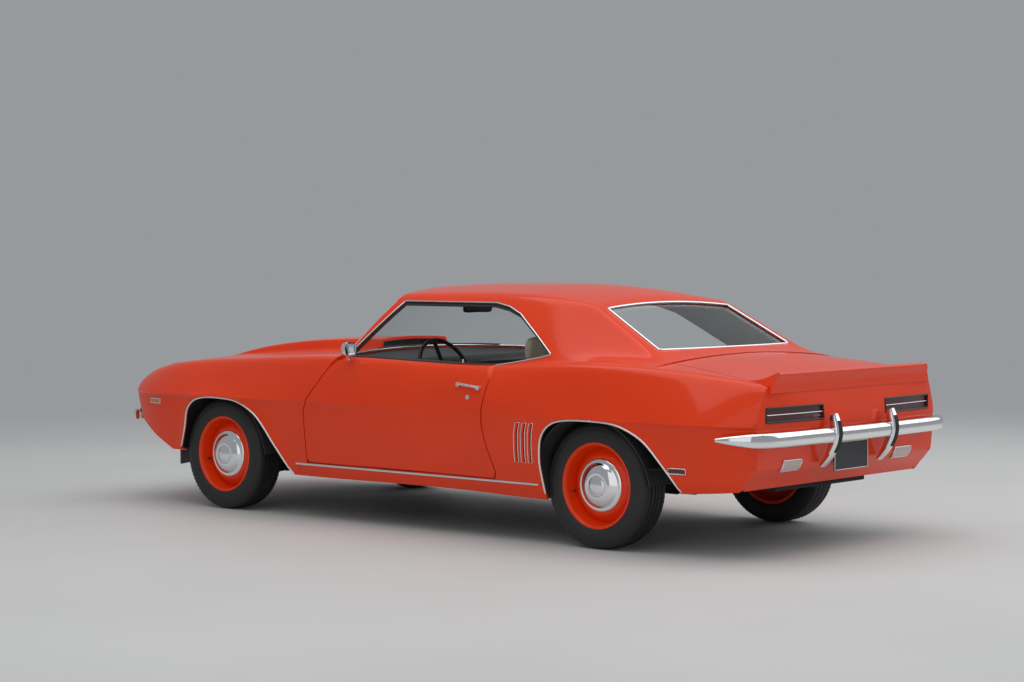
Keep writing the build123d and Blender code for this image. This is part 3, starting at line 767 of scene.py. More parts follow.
def bead(name, lines, radius, finish="trim", slot=None, body="car_body"):
    """Round mouldings along lines given in millimetres; a line that ends where it starts is closed."""
    points, edges = [], []
    for line in lines:
        line = np.asarray(line, float)
        closed = np.linalg.norm(line[0] - line[-1]) < 0.5
        if closed:
            line = line[:-1]
        first = len(points)
        points += (line * MM).tolist()
        edges += [(first + i, first + i + 1) for i in range(len(line) - 1)]
        if closed:
            edges.append((len(points) - 1, first))
    mesh = bpy.data.meshes.new(name + "_line")
    mesh.from_pydata(points, edges, [])
    tree = node_tree("Bead", BEAD_INPUTS, BEAD_NODES, BEAD_LINKS)
    made = grown(linked(name + "_line", mesh), tree, Radius=radius * MM, Finish=look(finish))
    made.name = name
    return seat(linked(name, made), body, slot or SLOTS[finish])


def twin(lines):
    """Lines and their mirror images on the car's right."""
    return [*lines, *[line * MIRRORED for line in lines]]


def material(name, colour, roughness, metallic=0.0, **sockets):
    """A material with colour and gloss on the shader's own sockets; returns it, its tree and its shader."""
    made = bpy.data.materials.new(name)
    made.use_nodes = True
    tree = made.node_tree
    shader = tree.nodes["Principled BSDF"]
    shader.inputs["Base Color"].default_value = (*colour, 1)
    shader.inputs["Roughness"].default_value = roughness
    shader.inputs["Metallic"].default_value = metallic
    for key, value in sockets.items():
        shader.inputs[key.replace("_", " ")].default_value = value
    made.diffuse_color = (*colour, 1)
    return made, tree, shader


def on_piece(tree, texture):
    """Lays a texture on the piece's own coordinates."""
    place = node(tree, "ShaderNodeTexCoord")
    tree.links.new(place.outputs["Object"], texture.inputs["Vector"])
    return texture


def noise(tree, scale, detail=2.0, stretch=(1, 1, 1)):
    """A noise pattern on the piece's own coordinates."""
    place = on_piece(tree, node(tree, "ShaderNodeMapping", Scale=stretch))
    pattern = node(tree, "ShaderNodeTexNoise", Scale=scale, Detail=detail)
    tree.links.new(place.outputs["Vector"], pattern.inputs["Vector"])
    return pattern.outputs["Fac"]


def bumped(tree, shader, pattern, strength, distance):
    """Raises a pattern on a shader's surface."""
    bump = node(tree, "ShaderNodeBump", Strength=strength, Distance=distance)
    tree.links.new(pattern, bump.inputs["Height"])
    tree.links.new(bump.outputs["Normal"], shader.inputs["Normal"])


def varied(tree, shader, pattern, low, high):
    """Drives a shader's roughness between two values by a pattern."""
    ends = {"From Min": 0.3, "From Max": 0.7, "To Min": low, "To Max": high}
    spread = node(tree, "ShaderNodeMapRange", **ends)
    tree.links.new(pattern, spread.inputs["Value"])
    tree.links.new(spread.outputs["Result"], shader.inputs["Roughness"])


def tinted(tree, shader, pattern, dark, light):
    """Drives a shader's colour between two tones by a pattern."""
    ramp = node(tree, "ShaderNodeValToRGB")
    for stop, place, tone in zip(ramp.color_ramp.elements, (0.3, 0.7), (dark, light)):
        stop.position = place
        stop.color = (*tone, 1)
    tree.links.new(pattern, ramp.inputs["Fac"])
    tree.links.new(ramp.outputs["Color"], shader.inputs["Base Color"])


def shade(colour, factor):
    """A lighter or darker tone of a colour."""
    return tuple(min(c * factor, 1.0) for c in colour)


def body_paint(colour):
    """Solid colour under a clear coat, with a faint orange-peel ripple."""
    coat = {"Coat_Weight": 0.5, "Coat_Roughness": 0.1, "Specular_IOR_Level": 0.1}
    made, tree, shader = material("BodyPaint", colour, 0.34, **coat)
    tone = noise(tree, 2.1, 3)
    tinted(tree, shader, tone, shade(colour, 0.96), shade(colour, 1.03))
    varied(tree, shader, tone, 0.31, 0.37)
    bumped(tree, shader, noise(tree, 420, 1), 0.015, 0.0006)
    return made


def bright_metal(name, colour, roughness):
    """Polished plated trim with faint polishing haze."""
    made, tree, shader = material(name, colour, roughness, 1.0)
    varied(tree, shader, noise(tree, 14, 3, (1, 3, 3)), roughness * 0.7, roughness * 1.6)
    return made


def dull(name, colour, roughness, grain, depth, metallic=0.0):
    """A matt finish with grain, for rubber, underbody paint and moulded trim."""
    made, tree, shader = material(name, colour, roughness, metallic)
    tone = noise(tree, grain * 0.08, 4)
    tinted(tree, shader, tone, shade(colour, 0.8), shade(colour, 1.2))
    varied(tree, shader, tone, roughness * 0.88, min(roughness * 1.1, 1))
    bumped(tree, shader, noise(tree, grain, 2), depth, 0.0012)
    return made


def vinyl(name, colour):
    """Grained upholstery vinyl with a soft sheen."""
    made, tree, shader = material(name, colour, 0.46, Sheen_Weight=0.12, Sheen_Roughness=0.5)
    grain = on_piece(tree, node(tree, "ShaderNodeTexVoronoi", Scale=260.0))
    tinted(tree, shader, noise(tree, 9, 3), shade(colour, 0.88), shade(colour, 1.06))
    bumped(tree, shader, grain.outputs["Distance"], 0.16, 0.0015)
    return made


def lens(name, colour, transmission):
    """A coloured plastic lens with fine ribs moulded behind it."""
    plastic = {"Transmission_Weight": transmission, "IOR": 1.49, "Coat_Weight": 0.6}
    made, tree, shader = material(name, colour, 0.12, **plastic)
    ribs = on_piece(tree, node(tree, "ShaderNodeTexWave", Scale=38.0, bands_direction="Y"))
    bumped(tree, shader, ribs.outputs["Fac"], 0.25, 0.002)
    return made


def window_glass():
    """Thin clear glass: mostly straight through, with a mirror coat that rises towards the edge."""
    clear = {"Transmission_Weight": 1.0, "IOR": 1.02}
    coat = {"Coat_Weight": 1.0, "Coat_Roughness": 0.01, "Coat_IOR": 1.5}
    made, tree, shader = material("WindowGlass", (0.92, 0.96, 0.95), 0.02, **clear, **coat)
    varied(tree, shader, noise(tree, 3, 2), 0.0, 0.02)
    return made


def colour_setting(name, description, default):
    """A colour that can be picked in the panel."""
    return bpy.props.FloatVectorProperty(
        name=name, description=description, subtype="COLOR", size=3, min=0, max=1, default=default)


def length_setting(name, description, default):
    """A small length that can be set in the panel, in metres."""
    return bpy.props.FloatProperty(
        name=name, description=description, unit="LENGTH", precision=4, min=0, max=0.05, default=default)


class FinishSettings(bpy.types.PropertyGroup):
    """Colours of the car's finishes."""
    paint: colour_setting("Body paint", "Colour of the painted panels and wheels", (0.84, 0.047, 0.003))
    trim: colour_setting("Bright trim", "Colour of the plated bumpers and mouldings", (0.82, 0.83, 0.84))
    seats: colour_setting("Seat vinyl", "Colour of the seat covers", (0.76, 0.66, 0.49))
    lamps: colour_setting("Tail lamps", "Colour of the tail lamp lenses", (0.11, 0.002, 0.003))


class SizeSettings(bpy.types.PropertyGroup):
    """Sizes that can change without moving the car's outline."""
    panel_edge: length_setting("Panel edge", "Thickness that the painted panels show at their edges", 0.012)
    pad_swell: length_setting("Seat padding", "How far the seat pads may swell", 0.012)
    tread_rise: length_setting("Tread rise", "How far the tread lugs stand out of the tyre", 0.0024)


def size(name):
    """One of the scene's size settings, in millimetres."""
    return getattr(bpy.context.scene.car_sizes, name) / MM


# A slot name for each finish, for pieces that name no other
SLOTS = {
    "paint": "orange_paint", "trim": "bright_trim", "mirror": "bright_trim", "black": "black_paint",
    "under": "black_paint", "dark_vinyl": "dash_vinyl", "liner": "dash_vinyl", "rubber": "tyre_rubber",
    "border": "plate_paint", "glass": "clear_glass", "red": "red_lens", "amber": "amber_lens",
}
FINISH = {}


def finishes(settings):
    """Every material of the car."""
    return dict(
        paint=body_paint(tuple(settings.paint)),
        trim=bright_metal("BrightTrim", tuple(settings.trim), 0.09),
        red=lens("RedLens", tuple(settings.lamps), 0.35),
        clear=lens("ClearLens", (0.85, 0.85, 0.82), 0.5),
        amber=lens("AmberLens", (0.75, 0.28, 0.03), 0.4),
        glass=window_glass(),
        mirror=bright_metal("MirrorGlass", (0.55, 0.58, 0.62), 0.03),
        seat=vinyl("IvoryVinyl", tuple(settings.seats)),
        dark_vinyl=vinyl("DarkVinyl", (0.012, 0.012, 0.013)),
        rubber=dull("TyreRubber", (0.017, 0.017, 0.018), 0.62, 240, 0.2),
        black=dull("BlackPaint", (0.012, 0.012, 0.012), 0.42, 120, 0.08),
        under=dull("UnderbodyBlack", (0.022, 0.021, 0.02), 0.85, 90, 0.1),
        cast=dull("CastMetal", (0.10, 0.10, 0.105), 0.55, 120, 0.35, 0.8),
        plate=dull("PlatePaint", (0.012, 0.014, 0.024), 0.3, 60, 0.05),
        border=dull("PlateBorder", (0.62, 0.60, 0.50), 0.4, 80, 0.05),
        liner=dull("Headliner", (0.020, 0.020, 0.020), 0.92, 300, 0.05),
    )


def look(finish):
    """One of the car's materials; all are made from the scene's settings when the first is asked for."""
    if not FINISH:
        FINISH.update(finishes(bpy.context.scene.car_finish))
    return FINISH[finish]


def tail_corner_s():
    """How far up the skin the quarter's rear edge reaches the lid's opening."""
    def outside(s):
        corner = lift_side(at_tail([s]), [s])[0]
        return corner[1] > lid_y(corner[0])
    return float(bisected(outside, ROUND_S, TOP_S + 200))


TAIL_TOP_S = tail_corner_s()
SPLIT_X = run(-656, OPENING_X, 16)

# Limits of the left tail lamp's opening in y and z, and the upper corner of the rear valance
LAMP_OPENING = (282, 734, 666, 736)
VALANCE_Y, VALANCE_Z = 760, 552


def quarter_sheet():
    """Rear quarter, rocker and deck side of the left half."""
    arch = skin_line(REAR_ARCH)
    arch = arch[arch[:, 1] > 4]
    rise = run(STEP, TAIL_TOP_S, STEP)
    lid_x = run(at_tail([TAIL_TOP_S])[0], OPENING_X, STEP)[1:]
    deck_y = run(OPENING_Y, top_edge_y(OPENING_X), STEP)[1:-1]
    return side_net([
        [(-656, TOP_S)],
        skin_line(straight(QUARTER_EDGE, STEP)),
        [(760, 0)],
        stack(run(742, arch[0, 0], STEP), 0),
        arch,
        stack(run(arch[-1, 0] - 4, at_tail([0.0])[0], STEP), 0),
        stack(at_tail(rise), rise),
        stack(lid_x, width_s(lid_x, lid_y(lid_x))),
        stack(OPENING_X, top_s(OPENING_X, deck_y)),
        stack(SPLIT_X[::-1], TOP_S)[:-1],
    ])


def header_line(step):
    """Where the windscreen's surface meets roof and pillar, from the centre to the pillar's foot."""
    y = run(0, 806, step)
    return stack(bisected(lambda x: screen_z(x, y) > cabin_z(x, y), -300.0, 800.0), y)


def rear_window_line(step):
    """The rear window's opening in plan, from the foot's centre round to the head's centre."""
    foot_y, head_y = 570, 521
    foot_z, corner_z, head_z = 984, 1184, 1208

    def place(y, z):
        return stack(rear_foot_x(y) + (z - REAR_FOOT_Z) * REAR_SLOPE, y)
    t = run(0, 1, step / 420)
    side = place(foot_y * (1 - t) + head_y * t, foot_z * (1 - t) + corner_z * t)
    y = run(head_y, 0, step)
    head = place(y, head_z - (head_z - corner_z) * (y / head_y) ** 2)
    return np.concatenate([place(run(0, foot_y, step), foot_z), side[1:-1], head])


def upper_sheet():
    """Roof, pillars, sail panels and the panel behind the rear window, left half."""
    header = header_line(14)
    rear = rear_window_line(14)
    window = straight(WINDOW_TOP, 14)
    sill = straight(WINDOW_SILL, 14)[1:-1]
    return plan_net([
        header,
        stack(window[:, 0], cabin_y(*window.T)),
        stack(sill[:, 0], cabin_y(*sill.T)),
        stack(SPLIT_X, top_edge_y(SPLIT_X)),
        stack(OPENING_X, run(OPENING_Y, top_edge_y(OPENING_X), STEP)[::-1][1:]),
        stack(OPENING_X, run(OPENING_Y, 0, STEP)[1:]),
        stack(run(OPENING_X, rear[0, 0], 16)[1:-1], 0),
        rear,
        stack(run(rear[-1, 0], header[0, 0], 16)[1:-1], 0),
    ], upper_z, 15)


def cowl_sheet():
    """The panel between windscreen and hood, left half."""
    foot_y = run(0, 806, STEP)
    hood_edge_y = run(707, 0, STEP)
    return plan_net([
        stack(screen_foot_x(foot_y) + 4, foot_y),
        [(452, top_edge_y(452)), (500, top_edge_y(500)), (504, 760), (504, 709), (560, 708)],
        stack(hood_rear_x(hood_edge_y) - 8, hood_edge_y),
        [(690, 0), (660, 0)],
    ], deck_z)


def fender_sheet():
    """The left front fender, and the line of its front edge."""
    foot_z, corner_x = 323, 505
    x = run(524, 2140, STEP)
    s = width_s(x, hood_y(x))
    p = lift_side(x, s)
    top = stack(x, s)[p[:, 0] < nose_x(p[:, 1], p[:, 2]) - 4]
    fall = run(top[-1, 1], float(side_s(1850, foot_z)), STEP)
    front = stack(meets(fall, nose_x, 1700, 2335), fall)
    foot_x = run(front[-1, 0], FRONT_AXLE_X + 267, STEP)[1:-1]
    arch = skin_line(FRONT_ARCH)
    lower_end = (FRONT_ARCH[:, 1] <= foot_z + 1) & (FRONT_ARCH[:, 0] >= FRONT_AXLE_X)
    arch = arch[~lower_end & (arch[:, 1] > 4)]
    points, faces = side_net([
        skin_line(straight(FENDER_EDGE, STEP)),
        [(corner_x, TOP_S)],
        stack(corner_x, top_s(corner_x, np.array([790, 750, 708]))),
        top,
        front,
        stack(foot_x, side_s(foot_x, foot_z)),
        arch,
        stack(run(arch[-1, 0] - 4, 760, STEP), 0),
    ])
    return points, faces, lift_side(*front.T)


def fender_cap(line):
    """The fender's front face, from its outer edge to grille and nose panel."""
    inner_y, grille_y, grille_z = 655, 772, 692
    keep = line[line[:, 1] > inner_y]
    inner = [(grille_y, keep[-1, 2]), (grille_y, grille_z), (inner_y, grille_z)]
    return end_net([keep[:, 1:3], inner], nose_x)


def door_sheet(inset=0.0):
    """The left door's outer skin, or a sheet that far behind it."""
    edge = skin_line(straight(DOOR_EDGE, STEP))
    points, faces = side_net([edge[:-1], stack(run(452, -648, STEP), TOP_S + 3)])
    return points - (0, inset, 0), faces


def hood_sheet():
    """The hood's skin with its scoop, whole, in columns that are close together along the scoop's edges."""
    fixed, widest, gap = 330, 700, 7
    half = np.concatenate([run(0, 232, 29), run(236, 312, 4), run(fixed, widest, 26)])
    column = np.concatenate([-half[:0:-1], half])

    def along(y, part):
        return hood_rear_x(y) + (hood_front_x(y) - hood_rear_x(y)) * part
    rows = []
    for part in run(0, 1, 1 / 110):
        spread = (hood_y(along(column, part)) - gap - fixed) / (widest - fixed)
        outer = np.sign(column) * (fixed + (np.abs(column) - fixed) * spread)
        y = np.where(np.abs(column) > fixed, outer, column)
        x = along(y, part)
        rows.append(stack(x, y, smooth_top(scoop_z(x, y), deck_z(x, y), 12)))
    return ring_grid(rows)


def scoop_mouth():
    """The dark inside of the scoop's open rear end."""
    y = run(-262, 262, 16)
    x = hood_rear_x(y)
    low = deck_z(x, y) - 12
    high = scoop_z(x, y) - 18
    rows = [(x + 3, low), (x + 90, low), (x + 96, (low + high) / 2), (x + 90, high), (x + 20, high)]
    return ring_grid([stack(at, y, z) for at, z in rows])


def lid_sheet():
    """The trunk lid's skin, whole."""
    rear_x = -2250
    x = run(LID_X, rear_x, STEP)[1:]
    right = stack(x, LID_GAP - lid_y(x))
    rear_y = run(right[-1, 1], -right[-1, 1], STEP)[1:-1]
    front = stack(LID_X, run(LID_Y, -LID_Y, STEP))
    return plan_net([front, right, stack(rear_x, rear_y), right[::-1] * (1, -1)], deck_z)


def tail_sheet():
    """The tail panel, left half, with the lamp's opening."""
    rise = run(0, TAIL_TOP_S, STEP)
    outer = lift_side(at_tail(rise), rise)
    y = run(outer[-1, 1], 0, STEP)[1:]
    foot = [(0, 800), (0, VALANCE_Z), (VALANCE_Y, VALANCE_Z), (VALANCE_Y, outer[0, 2])]
    ring = [outer[:, 1:3], stack(y, min(outer[-1, 2], TAIL[-1][0])), straight(foot, STEP)[:-1]]
    return end_net(ring, tail_x, holes=[box(*LAMP_OPENING, STEP)[:-1]])


def valance_sheet():
    """The panel below the rear bumper, left half."""
    foot_z = lift_side(at_tail([0.0]), 0.0)[0, 2] + 2
    return end_net([box(0, VALANCE_Y - 1, foot_z, VALANCE_Z - 1, STEP)[:-1]], tail_x)


def jamb_line(grow):
    """A line round the left door's edge just behind the skin, moved outwards by grow."""
    behind = 6
    door_middle = (0, 600)
    line = straight(DOOR_EDGE, 30)
    away = line - door_middle
    x, z = (line + away / np.linalg.norm(away, axis=1)[:, None] * grow).T
    return stack(x, side_y(x, np.minimum(z, round_start_z(x))) - behind, z)


class CAR_OT_body(bpy.types.Operator):
    """Roof, quarters, cowl and tail panel as one painted shell, with the door jambs"""
    bl_idname = "car.body"
    bl_label = "Body shell"

    def execute(self, context):
        shell = Sheets()
        shell.add_pair(*quarter_sheet(), (0, 1, 0.2))
        shell.add_pair(*upper_sheet(), (0, 0.1, 1))
        shell.add_pair(*cowl_sheet(), (0, 0, 1))
        shell.add_pair(*tail_sheet(), (-1, 0, 0))
        shell.put("body_skin", "paint", "body_shell", wall=size("panel_edge"), lining="liner", sharp=38)
        jamb_y = 752
        outer = jamb_line(9)
        points, faces = ring_grid([outer, outer * (1, 0, 1) + (0, jamb_y, 0)])
        jambs = Sheets().add(points, faces).add(points * MIRRORED, np.asarray(faces)[:, ::-1])
        jambs.put("door_jambs", "paint", wall=3, sharp=30)
        return {"FINISHED"}


# Bumper bars: the outer face in plan, sections of outward distance and share of the half height, and the
# half height by x
REAR_BUMPER = [(-2352, 0), (-2349, 250), (-2341, 500), (-2327, 720), (-2306, 800), (-2262, 862),
               (-2190, 902), (-2095, 928)]
REAR_SECTION = [(-30, -0.8), (-22, -1), (-10, -0.96), (-3, -0.72), (0, -0.35), (0, 0.3), (-3, 0.66),
                (-9, 0.92), (-22, 1), (-30, 0.85)]
REAR_HEIGHTS = [(-2330, 37), (-2260, 34), (-2150, 19), (-2095, 9)]
FRONT_BUMPER = [(2228, 826), (2262, 812), (2284, 780), (2318, 590), (2340, 390), (2356, 195), (2362, 0)]
FRONT_SECTION = [(-26, -0.84), (-16, -1), (-6, -0.94), (-1, -0.6), (0, 0), (-1, 0.6), (-6, 0.94), (-16, 1),
                 (-26, 0.84)]
FRONT_HEIGHTS = [(2200, 26), (2290, 35)]


def bumper(name, path, section, middle_z, heights):
    """A bright bar along a plan path that has the outside on its left, and its twin."""
    path = rounded(path, 22)
    full = max(h for _, h in heights)
    rows = []
    for place, normal, half in zip(path, left_of(path), np.interp(path[:, 0], *zip(*heights))):
        slim = 0.35 + 0.65 * half / full
        ring = [(*(place + normal * d * slim), middle_z + h * half) for d, h in section]
        rows.append(np.array(ring + ring[:1]))
    points, faces = ring_grid(rows if abs(path[0, 1]) > 1 else rows[::-1])
    faces = [*faces, range(len(section))[::-1]]
    bar = Sheets().add(points, faces).add(points * MIRRORED, [f[::-1] for f in faces])
    bar.put(name + "_bar", "trim", name, sharp=50)


def nose_profile(y):
    """The nose panel's section: up the front face, over a soft corner and back to the hood."""
    count = 36
    z = np.linspace(693, 830, 80)
    x = nose_x(y, z)
    keep = z < deck_z(x, y)
    top_x = np.linspace(x[keep][-1], float(hood_front_x(y)) + 7, 40)[1:]
    line = np.concatenate([stack(x, z)[keep], stack(top_x, deck_z(top_x, y))])
    along = distance_along(line)
    at = np.linspace(0, along[-1], count)
    line = np.column_stack([np.interp(at, along, column) for column in line.T])
    for _ in range(14):
        line[1:-1] = line[1:-1] / 2 + (line[:-2] + line[2:]) / 4
    return stack(line[:, 0], y, line[:, 1])


class CAR_OT_front(bpy.types.Operator):
    """Front fenders, nose panel, valance, grille, bumper and lamps"""
    bl_idname = "car.front"
    bl_label = "Front end"

    def execute(self, context):
        points, faces, front = fender_sheet()
        cap_points, cap_faces = fender_cap(front)
        for side, name in SIDES:
            turn = (1, side, 1)
            panel = Sheets().add(points * turn, faces, (0, side, 0.2))
            panel.add(cap_points * turn, cap_faces, (1, 0, 0))
            panel.put("fender_skin_" + name, "paint", "fender_" + name, wall=size("panel_edge"), sharp=38)
        nose = Sheets().add(*ring_grid([nose_profile(y) for y in run(-652, 652, 18)]))
        nose.put("nose_skin", "paint", "nose_panel", wall=size("panel_edge"), sharp=38)
        copy_of("front_valance", "paint")
        copy_of("grille", "black", "grille_black")
        copy_of("headlamp_covers", "black", "grille_black")
        copy_of("air_dam", "black", "dam_black")
        bumper("front_bumper", FRONT_BUMPER, FRONT_SECTION, 505, FRONT_HEIGHTS)
        self.grille_lines()
        copy_of("parking_lamps", "amber")
        return {"FINISHED"}

    def grille_lines(self):
        """Ribs on the headlamp covers and a bright line round the grille."""
        y = run(512, 760, 20)
        ribs = [stack(nose_x(y, z) - 13, y, z) for z in (530, 562, 594, 626, 658)]
        bead("headlamp_ribs", twin(ribs), 4, "black", "grille_black")
        y = run(-768, 768, 32)
        top, foot = [stack(nose_x(y, z) - 3, y, z) for z in (690, 488)]
        bead("grille_surround", [np.concatenate([top, foot[::-1], top[:1]])], 4.5)


class CAR_OT_doors(bpy.types.Operator):
    """Both doors: skin, edges and inner card"""
    bl_idname = "car.doors"
    bl_label = "Doors"

    def execute(self, context):
        edge_depth, card_depth = 96, 100
        points, faces = door_sheet()
        card_points, card_faces = door_sheet(card_depth)
        outer = jamb_line(-1)
        edge_points, edge_faces = ring_grid([outer, outer - (0, edge_depth, 0)])
        wall = size("panel_edge")
        for side, name in SIDES:
            turn = (1, side, 1)
            body = f"door_{name}_body"
            skin = Sheets().add(points * turn, faces, (0, side, 0.2))
            skin.put("door_skin_" + name, "paint", "door_" + name, body=body, wall=wall, sharp=38)
            edge = Sheets().add(edge_points * turn, edge_faces)
            edge.put("door_edge_" + name, "paint", body=body, wall=2, sharp=30)
            card = Sheets().add(card_points * turn, card_faces, (0, -side, 0))
            card.put("door_card_" + name, "dark_vinyl", body=body, wall=4, sharp=38)
        return {"FINISHED"}


def spoiler_half(z):
    """Half-width of the spoiler at a height, its upper corners rounded."""
    corner = 26.0
    foot_y, foot_z, lean = 724, 790, 0.4
    over = np.clip(z - (SPOILER_TOP_Z - corner), 0, corner)
    return foot_y - lean * (z - foot_z) - corner + np.sqrt(corner ** 2 - over ** 2)


def spoiler_loop(y):
    """The spoiler's section at a half-width: rising from the lid, then down its hollow rear face."""
    front_x = -2104
    x = run(front_x, -2268, 14)
    t = (front_x - x) / 164
    deck = deck_z(x, y) - 2
    top = stack(x, deck + (SPOILER_TOP_Z - deck) * (0.25 * t + 0.75 * t ** 2))
    rear = rounded([(-2277, 903), (-2281, 898), (-2275, 872), (-2269, 836), (-2267, 806)], 8)
    foot = straight([(-2256, 804), (front_x, 846)], 20)
    return np.concatenate([top, rear, foot, top[:1]])


class CAR_OT_lids(bpy.types.Operator):
    """Hood with its scoop, trunk lid and spoiler"""
    bl_idname = "car.lids"
    bl_label = "Hood and trunk lid"

    def execute(self, context):
        hood = Sheets().add(*hood_sheet(), (0, 0, 1))
        hood.put("hood_skin", "paint", "hood", body="hood_body", wall=LID_WALL, sharp=50)
        mouth = Sheets().add(*scoop_mouth(), (-1, 0, 0))
        mouth.put("scoop_mouth", "black", body="hood_body", wall=2)
        lid = Sheets().add(*lid_sheet(), (0, 0, 1))
        lid.put("lid_skin", "paint", "trunk_lid", body="trunk_body", wall=LID_WALL, sharp=38)
        rows = []
        for part in np.linspace(-1, 1, 61):
            x, z = spoiler_loop(part * 700).T
            rows.append(stack(x, part * spoiler_half(z), z))
        spoiler = Sheets().add_bar(rows)
        spoiler.put("spoiler_skin", "paint", "rear_spoiler", body="trunk_body", sharp=45, merge=0.05)
        return {"FINISHED"}


WHEELS = [("front_left", FRONT_AXLE_X, 1), ("front_right", FRONT_AXLE_X, -1),
          ("rear_left", REAR_AXLE_X, 1), ("rear_right", REAR_AXLE_X, -1)]

# Turned profiles: radius, and distance out of the wheel's middle plane
TYRE = [(208, -70), (212, -80), (226, -90), (256, -95), (280, -92), (298, -85), (309, -75), (313, -66),
        (315, -48), (315, -46), (308, -45), (308, -38), (315.5, -37), (315.5, -16), (308, -15), (308, -8),
        (316, -7), (316, 7), (308, 8), (308, 15), (315.5, 16), (315.5, 37), (308, 38), (308, 45), (315, 46),
        (315, 48), (313, 66), (309, 75), (298, 85), (292, 88.5), (290, 87.5), (280, 92), (268, 94.5),
        (256, 95), (244, 94), (238, 93.5), (236, 92), (226, 90), (216, 83), (212, 80), (208, 70)]
RIM = [(207, -74), (216, -78), (216, -85), (200, -85), (192, -40), (184, -10), (186, 14), (190, 34),
       (195, 50), (197, 66), (201, 78), (206, 84), (211, 86), (216, 84), (216, 79), (207, 74)]
DISC = [(188, 8), (182, 14), (174, 20), (164, 30), (152, 40), (142, 45), (134, 46), (120, 44), (60, 42),
        (60, 36), (120, 38), (136, 38), (150, 32), (170, 12), (188, 0)]
CAP = [(130, 42), (133, 46), (133, 50), (129, 54), (122, 56), (117, 55), (112, 57), (106, 63), (92, 72),
       (74, 79), (56, 83), (53, 81.5), (48, 81.5), (45, 84), (28, 87.5), (12, 88.8), (0.5, 89)]

# Tread lugs: inner and outer end as radius and distance from the tyre's middle plane, and half width
LUGS = [((314.0, 50), (306.5, 78), 5.5), ((313.4, 18), (313.4, 36), 7.5)]
LUG_FACES = [(4, 5, 6, 7), (0, 1, 5, 4), (1, 2, 6, 5), (2, 3, 7, 6), (3, 0, 4, 7)]
LUG_ROOT = -3.0
LUG_TAPER = 1.5
LUG_COUNT = 80

# Ends of the valve stem from the wheel's centre: ahead, out and up
VALVE_STEM = [(178, 26, -40), (170, 52, -38)]


def turned(profile, x, side, segments=96):
    """A profile turned about a wheel's axle."""
    radius, out = np.asarray(profile, float).T
    rows = []
    for k in range(segments):
        a = 2 * pi * k / segments
        rows.append(stack(x + radius * cos(a), side * (WHEEL_Y + out), AXLE_Z + radius * sin(a)))
    points, faces = ring_grid(rows, True)
    if side > 0:
        faces = [f[::-1] for f in faces]
    return points, faces


def tread(name, x, side):
    """Lugs on the tyre's shoulders and ribs, repeated round the axle."""
    lug = Sheets()
    for edge in (1, -1):
        for (r0, y0), (r1, y1), wide in LUGS:
            low = [(r0, edge * y0), (r1, edge * y1)]
            ring = []
            for rise, half in ((LUG_ROOT, wide), (size("tread_rise"), wide - LUG_TAPER)):
                ring += [(r + rise, y, s * half) for s in (-1, 1) for r, y in low[::s]]
            lug.add(np.array(ring) * (1, side, 1), LUG_FACES)
    seed = lug.make("lug", None, 30, 0)
    work = bmesh.new()
    work.from_mesh(seed.data)
    bmesh.ops.recalc_face_normals(work, faces=work.faces)
    work.to_mesh(seed.data)
    work.free()
    tree = node_tree("Ring", RING_INPUTS, RING_NODES, RING_LINKS)
    made = grown(seed, tree, Count=LUG_COUNT, Turn=2 * pi / LUG_COUNT, Finish=look("rubber"))
    made.transform(Matrix.Translation((x * MM, side * WHEEL_Y * MM, AXLE_Z * MM)))
    seat(linked("tread_" + name, made), name + "_wheel_body", "tyre_rubber")


class CAR_OT_wheels(bpy.types.Operator):
    """Tyres with grooved tread, painted steel wheels and bright hub caps"""
    bl_idname = "car.wheels"
    bl_label = "Wheels"

    def execute(self, context):
        for name, x, side in WHEELS:
            body = name + "_wheel_body"
            tyre = Sheets().add(*turned(TYRE, x, side))
            tyre.put("tyre_skin_" + name, "rubber", "tyre_" + name, body=body, sharp=30)
            tread(name, x, side)
            stem = [(x + ahead, side * (WHEEL_Y + out), AXLE_Z + up) for ahead, out, up in VALVE_STEM]
            bead("valve_stem_" + name, [stem], 4, "black", body=body)
            wheel = Sheets().add(*turned(RIM, x, side)).add(*turned(DISC, x, side))
            wheel.put("wheel_skin_" + name, "paint", "wheel_" + name, body=body)
            cap = Sheets().add(*turned(CAP, x, side, 64))
            cap.put("hub_cap_" + name, "trim", body=body)
        return {"FINISHED"}


# How far each glass is set in behind its opening
SCREEN_INSET = (6, 0, 6)
REAR_INSET = (-2, 0, 6)


class CAR_OT_glass(bpy.types.Operator):
    """Windscreen and rear window"""
    bl_idname = "car.glass"
    bl_label = "Glass"

    def execute(self, context):
        header = header_line(20)
        header = np.concatenate([header[:0:-1] * (1, -1), header])
        y = header[-2:0:-1, 1]
        points, faces = plan_net([header, stack(screen_foot_x(y), y)], screen_z, 22)
        screen = Sheets().add(points - SCREEN_INSET, faces, (1, 0, 1))
        screen.put("screen_glass", "glass", "windshield", wall=GLASS_WALL, sharp=60)
        half = rear_window_line(20)
        points, faces = plan_net([half, half[-2:0:-1] * (1, -1)], rear_glass_z, 22)
        rear = Sheets().add(points - REAR_INSET, faces, (-1, 0, 1))
        rear.put("rear_glass", "glass", "rear_window", wall=GLASS_WALL, sharp=60)
        return {"FINISHED"}


def soft_turn(turn, power):
    """Cosine and sine of a turn, drawn towards a square by a power below one."""
    return [np.sign(wave) * np.abs(wave) ** power for wave in (np.cos(turn), np.sin(turn))]


def soft_ring(centre, u, v, square=0.55, count=48):
    """A closed rounded-square ring about a centre, with half-axes u and v."""
    a, b = soft_turn(np.linspace(0, 2 * pi, count + 1), square)
    a[-1], b[-1] = a[0], b[0]
    return np.asarray(centre, float) + a[:, None] * np.asarray(u, float) + b[:, None] * np.asarray(v, float)


# Settings of the short cloth run that fills the pads
PAD_VOXEL = 0.010
PAD_PRESSURE = 4.0
PAD_FRAMES = 20


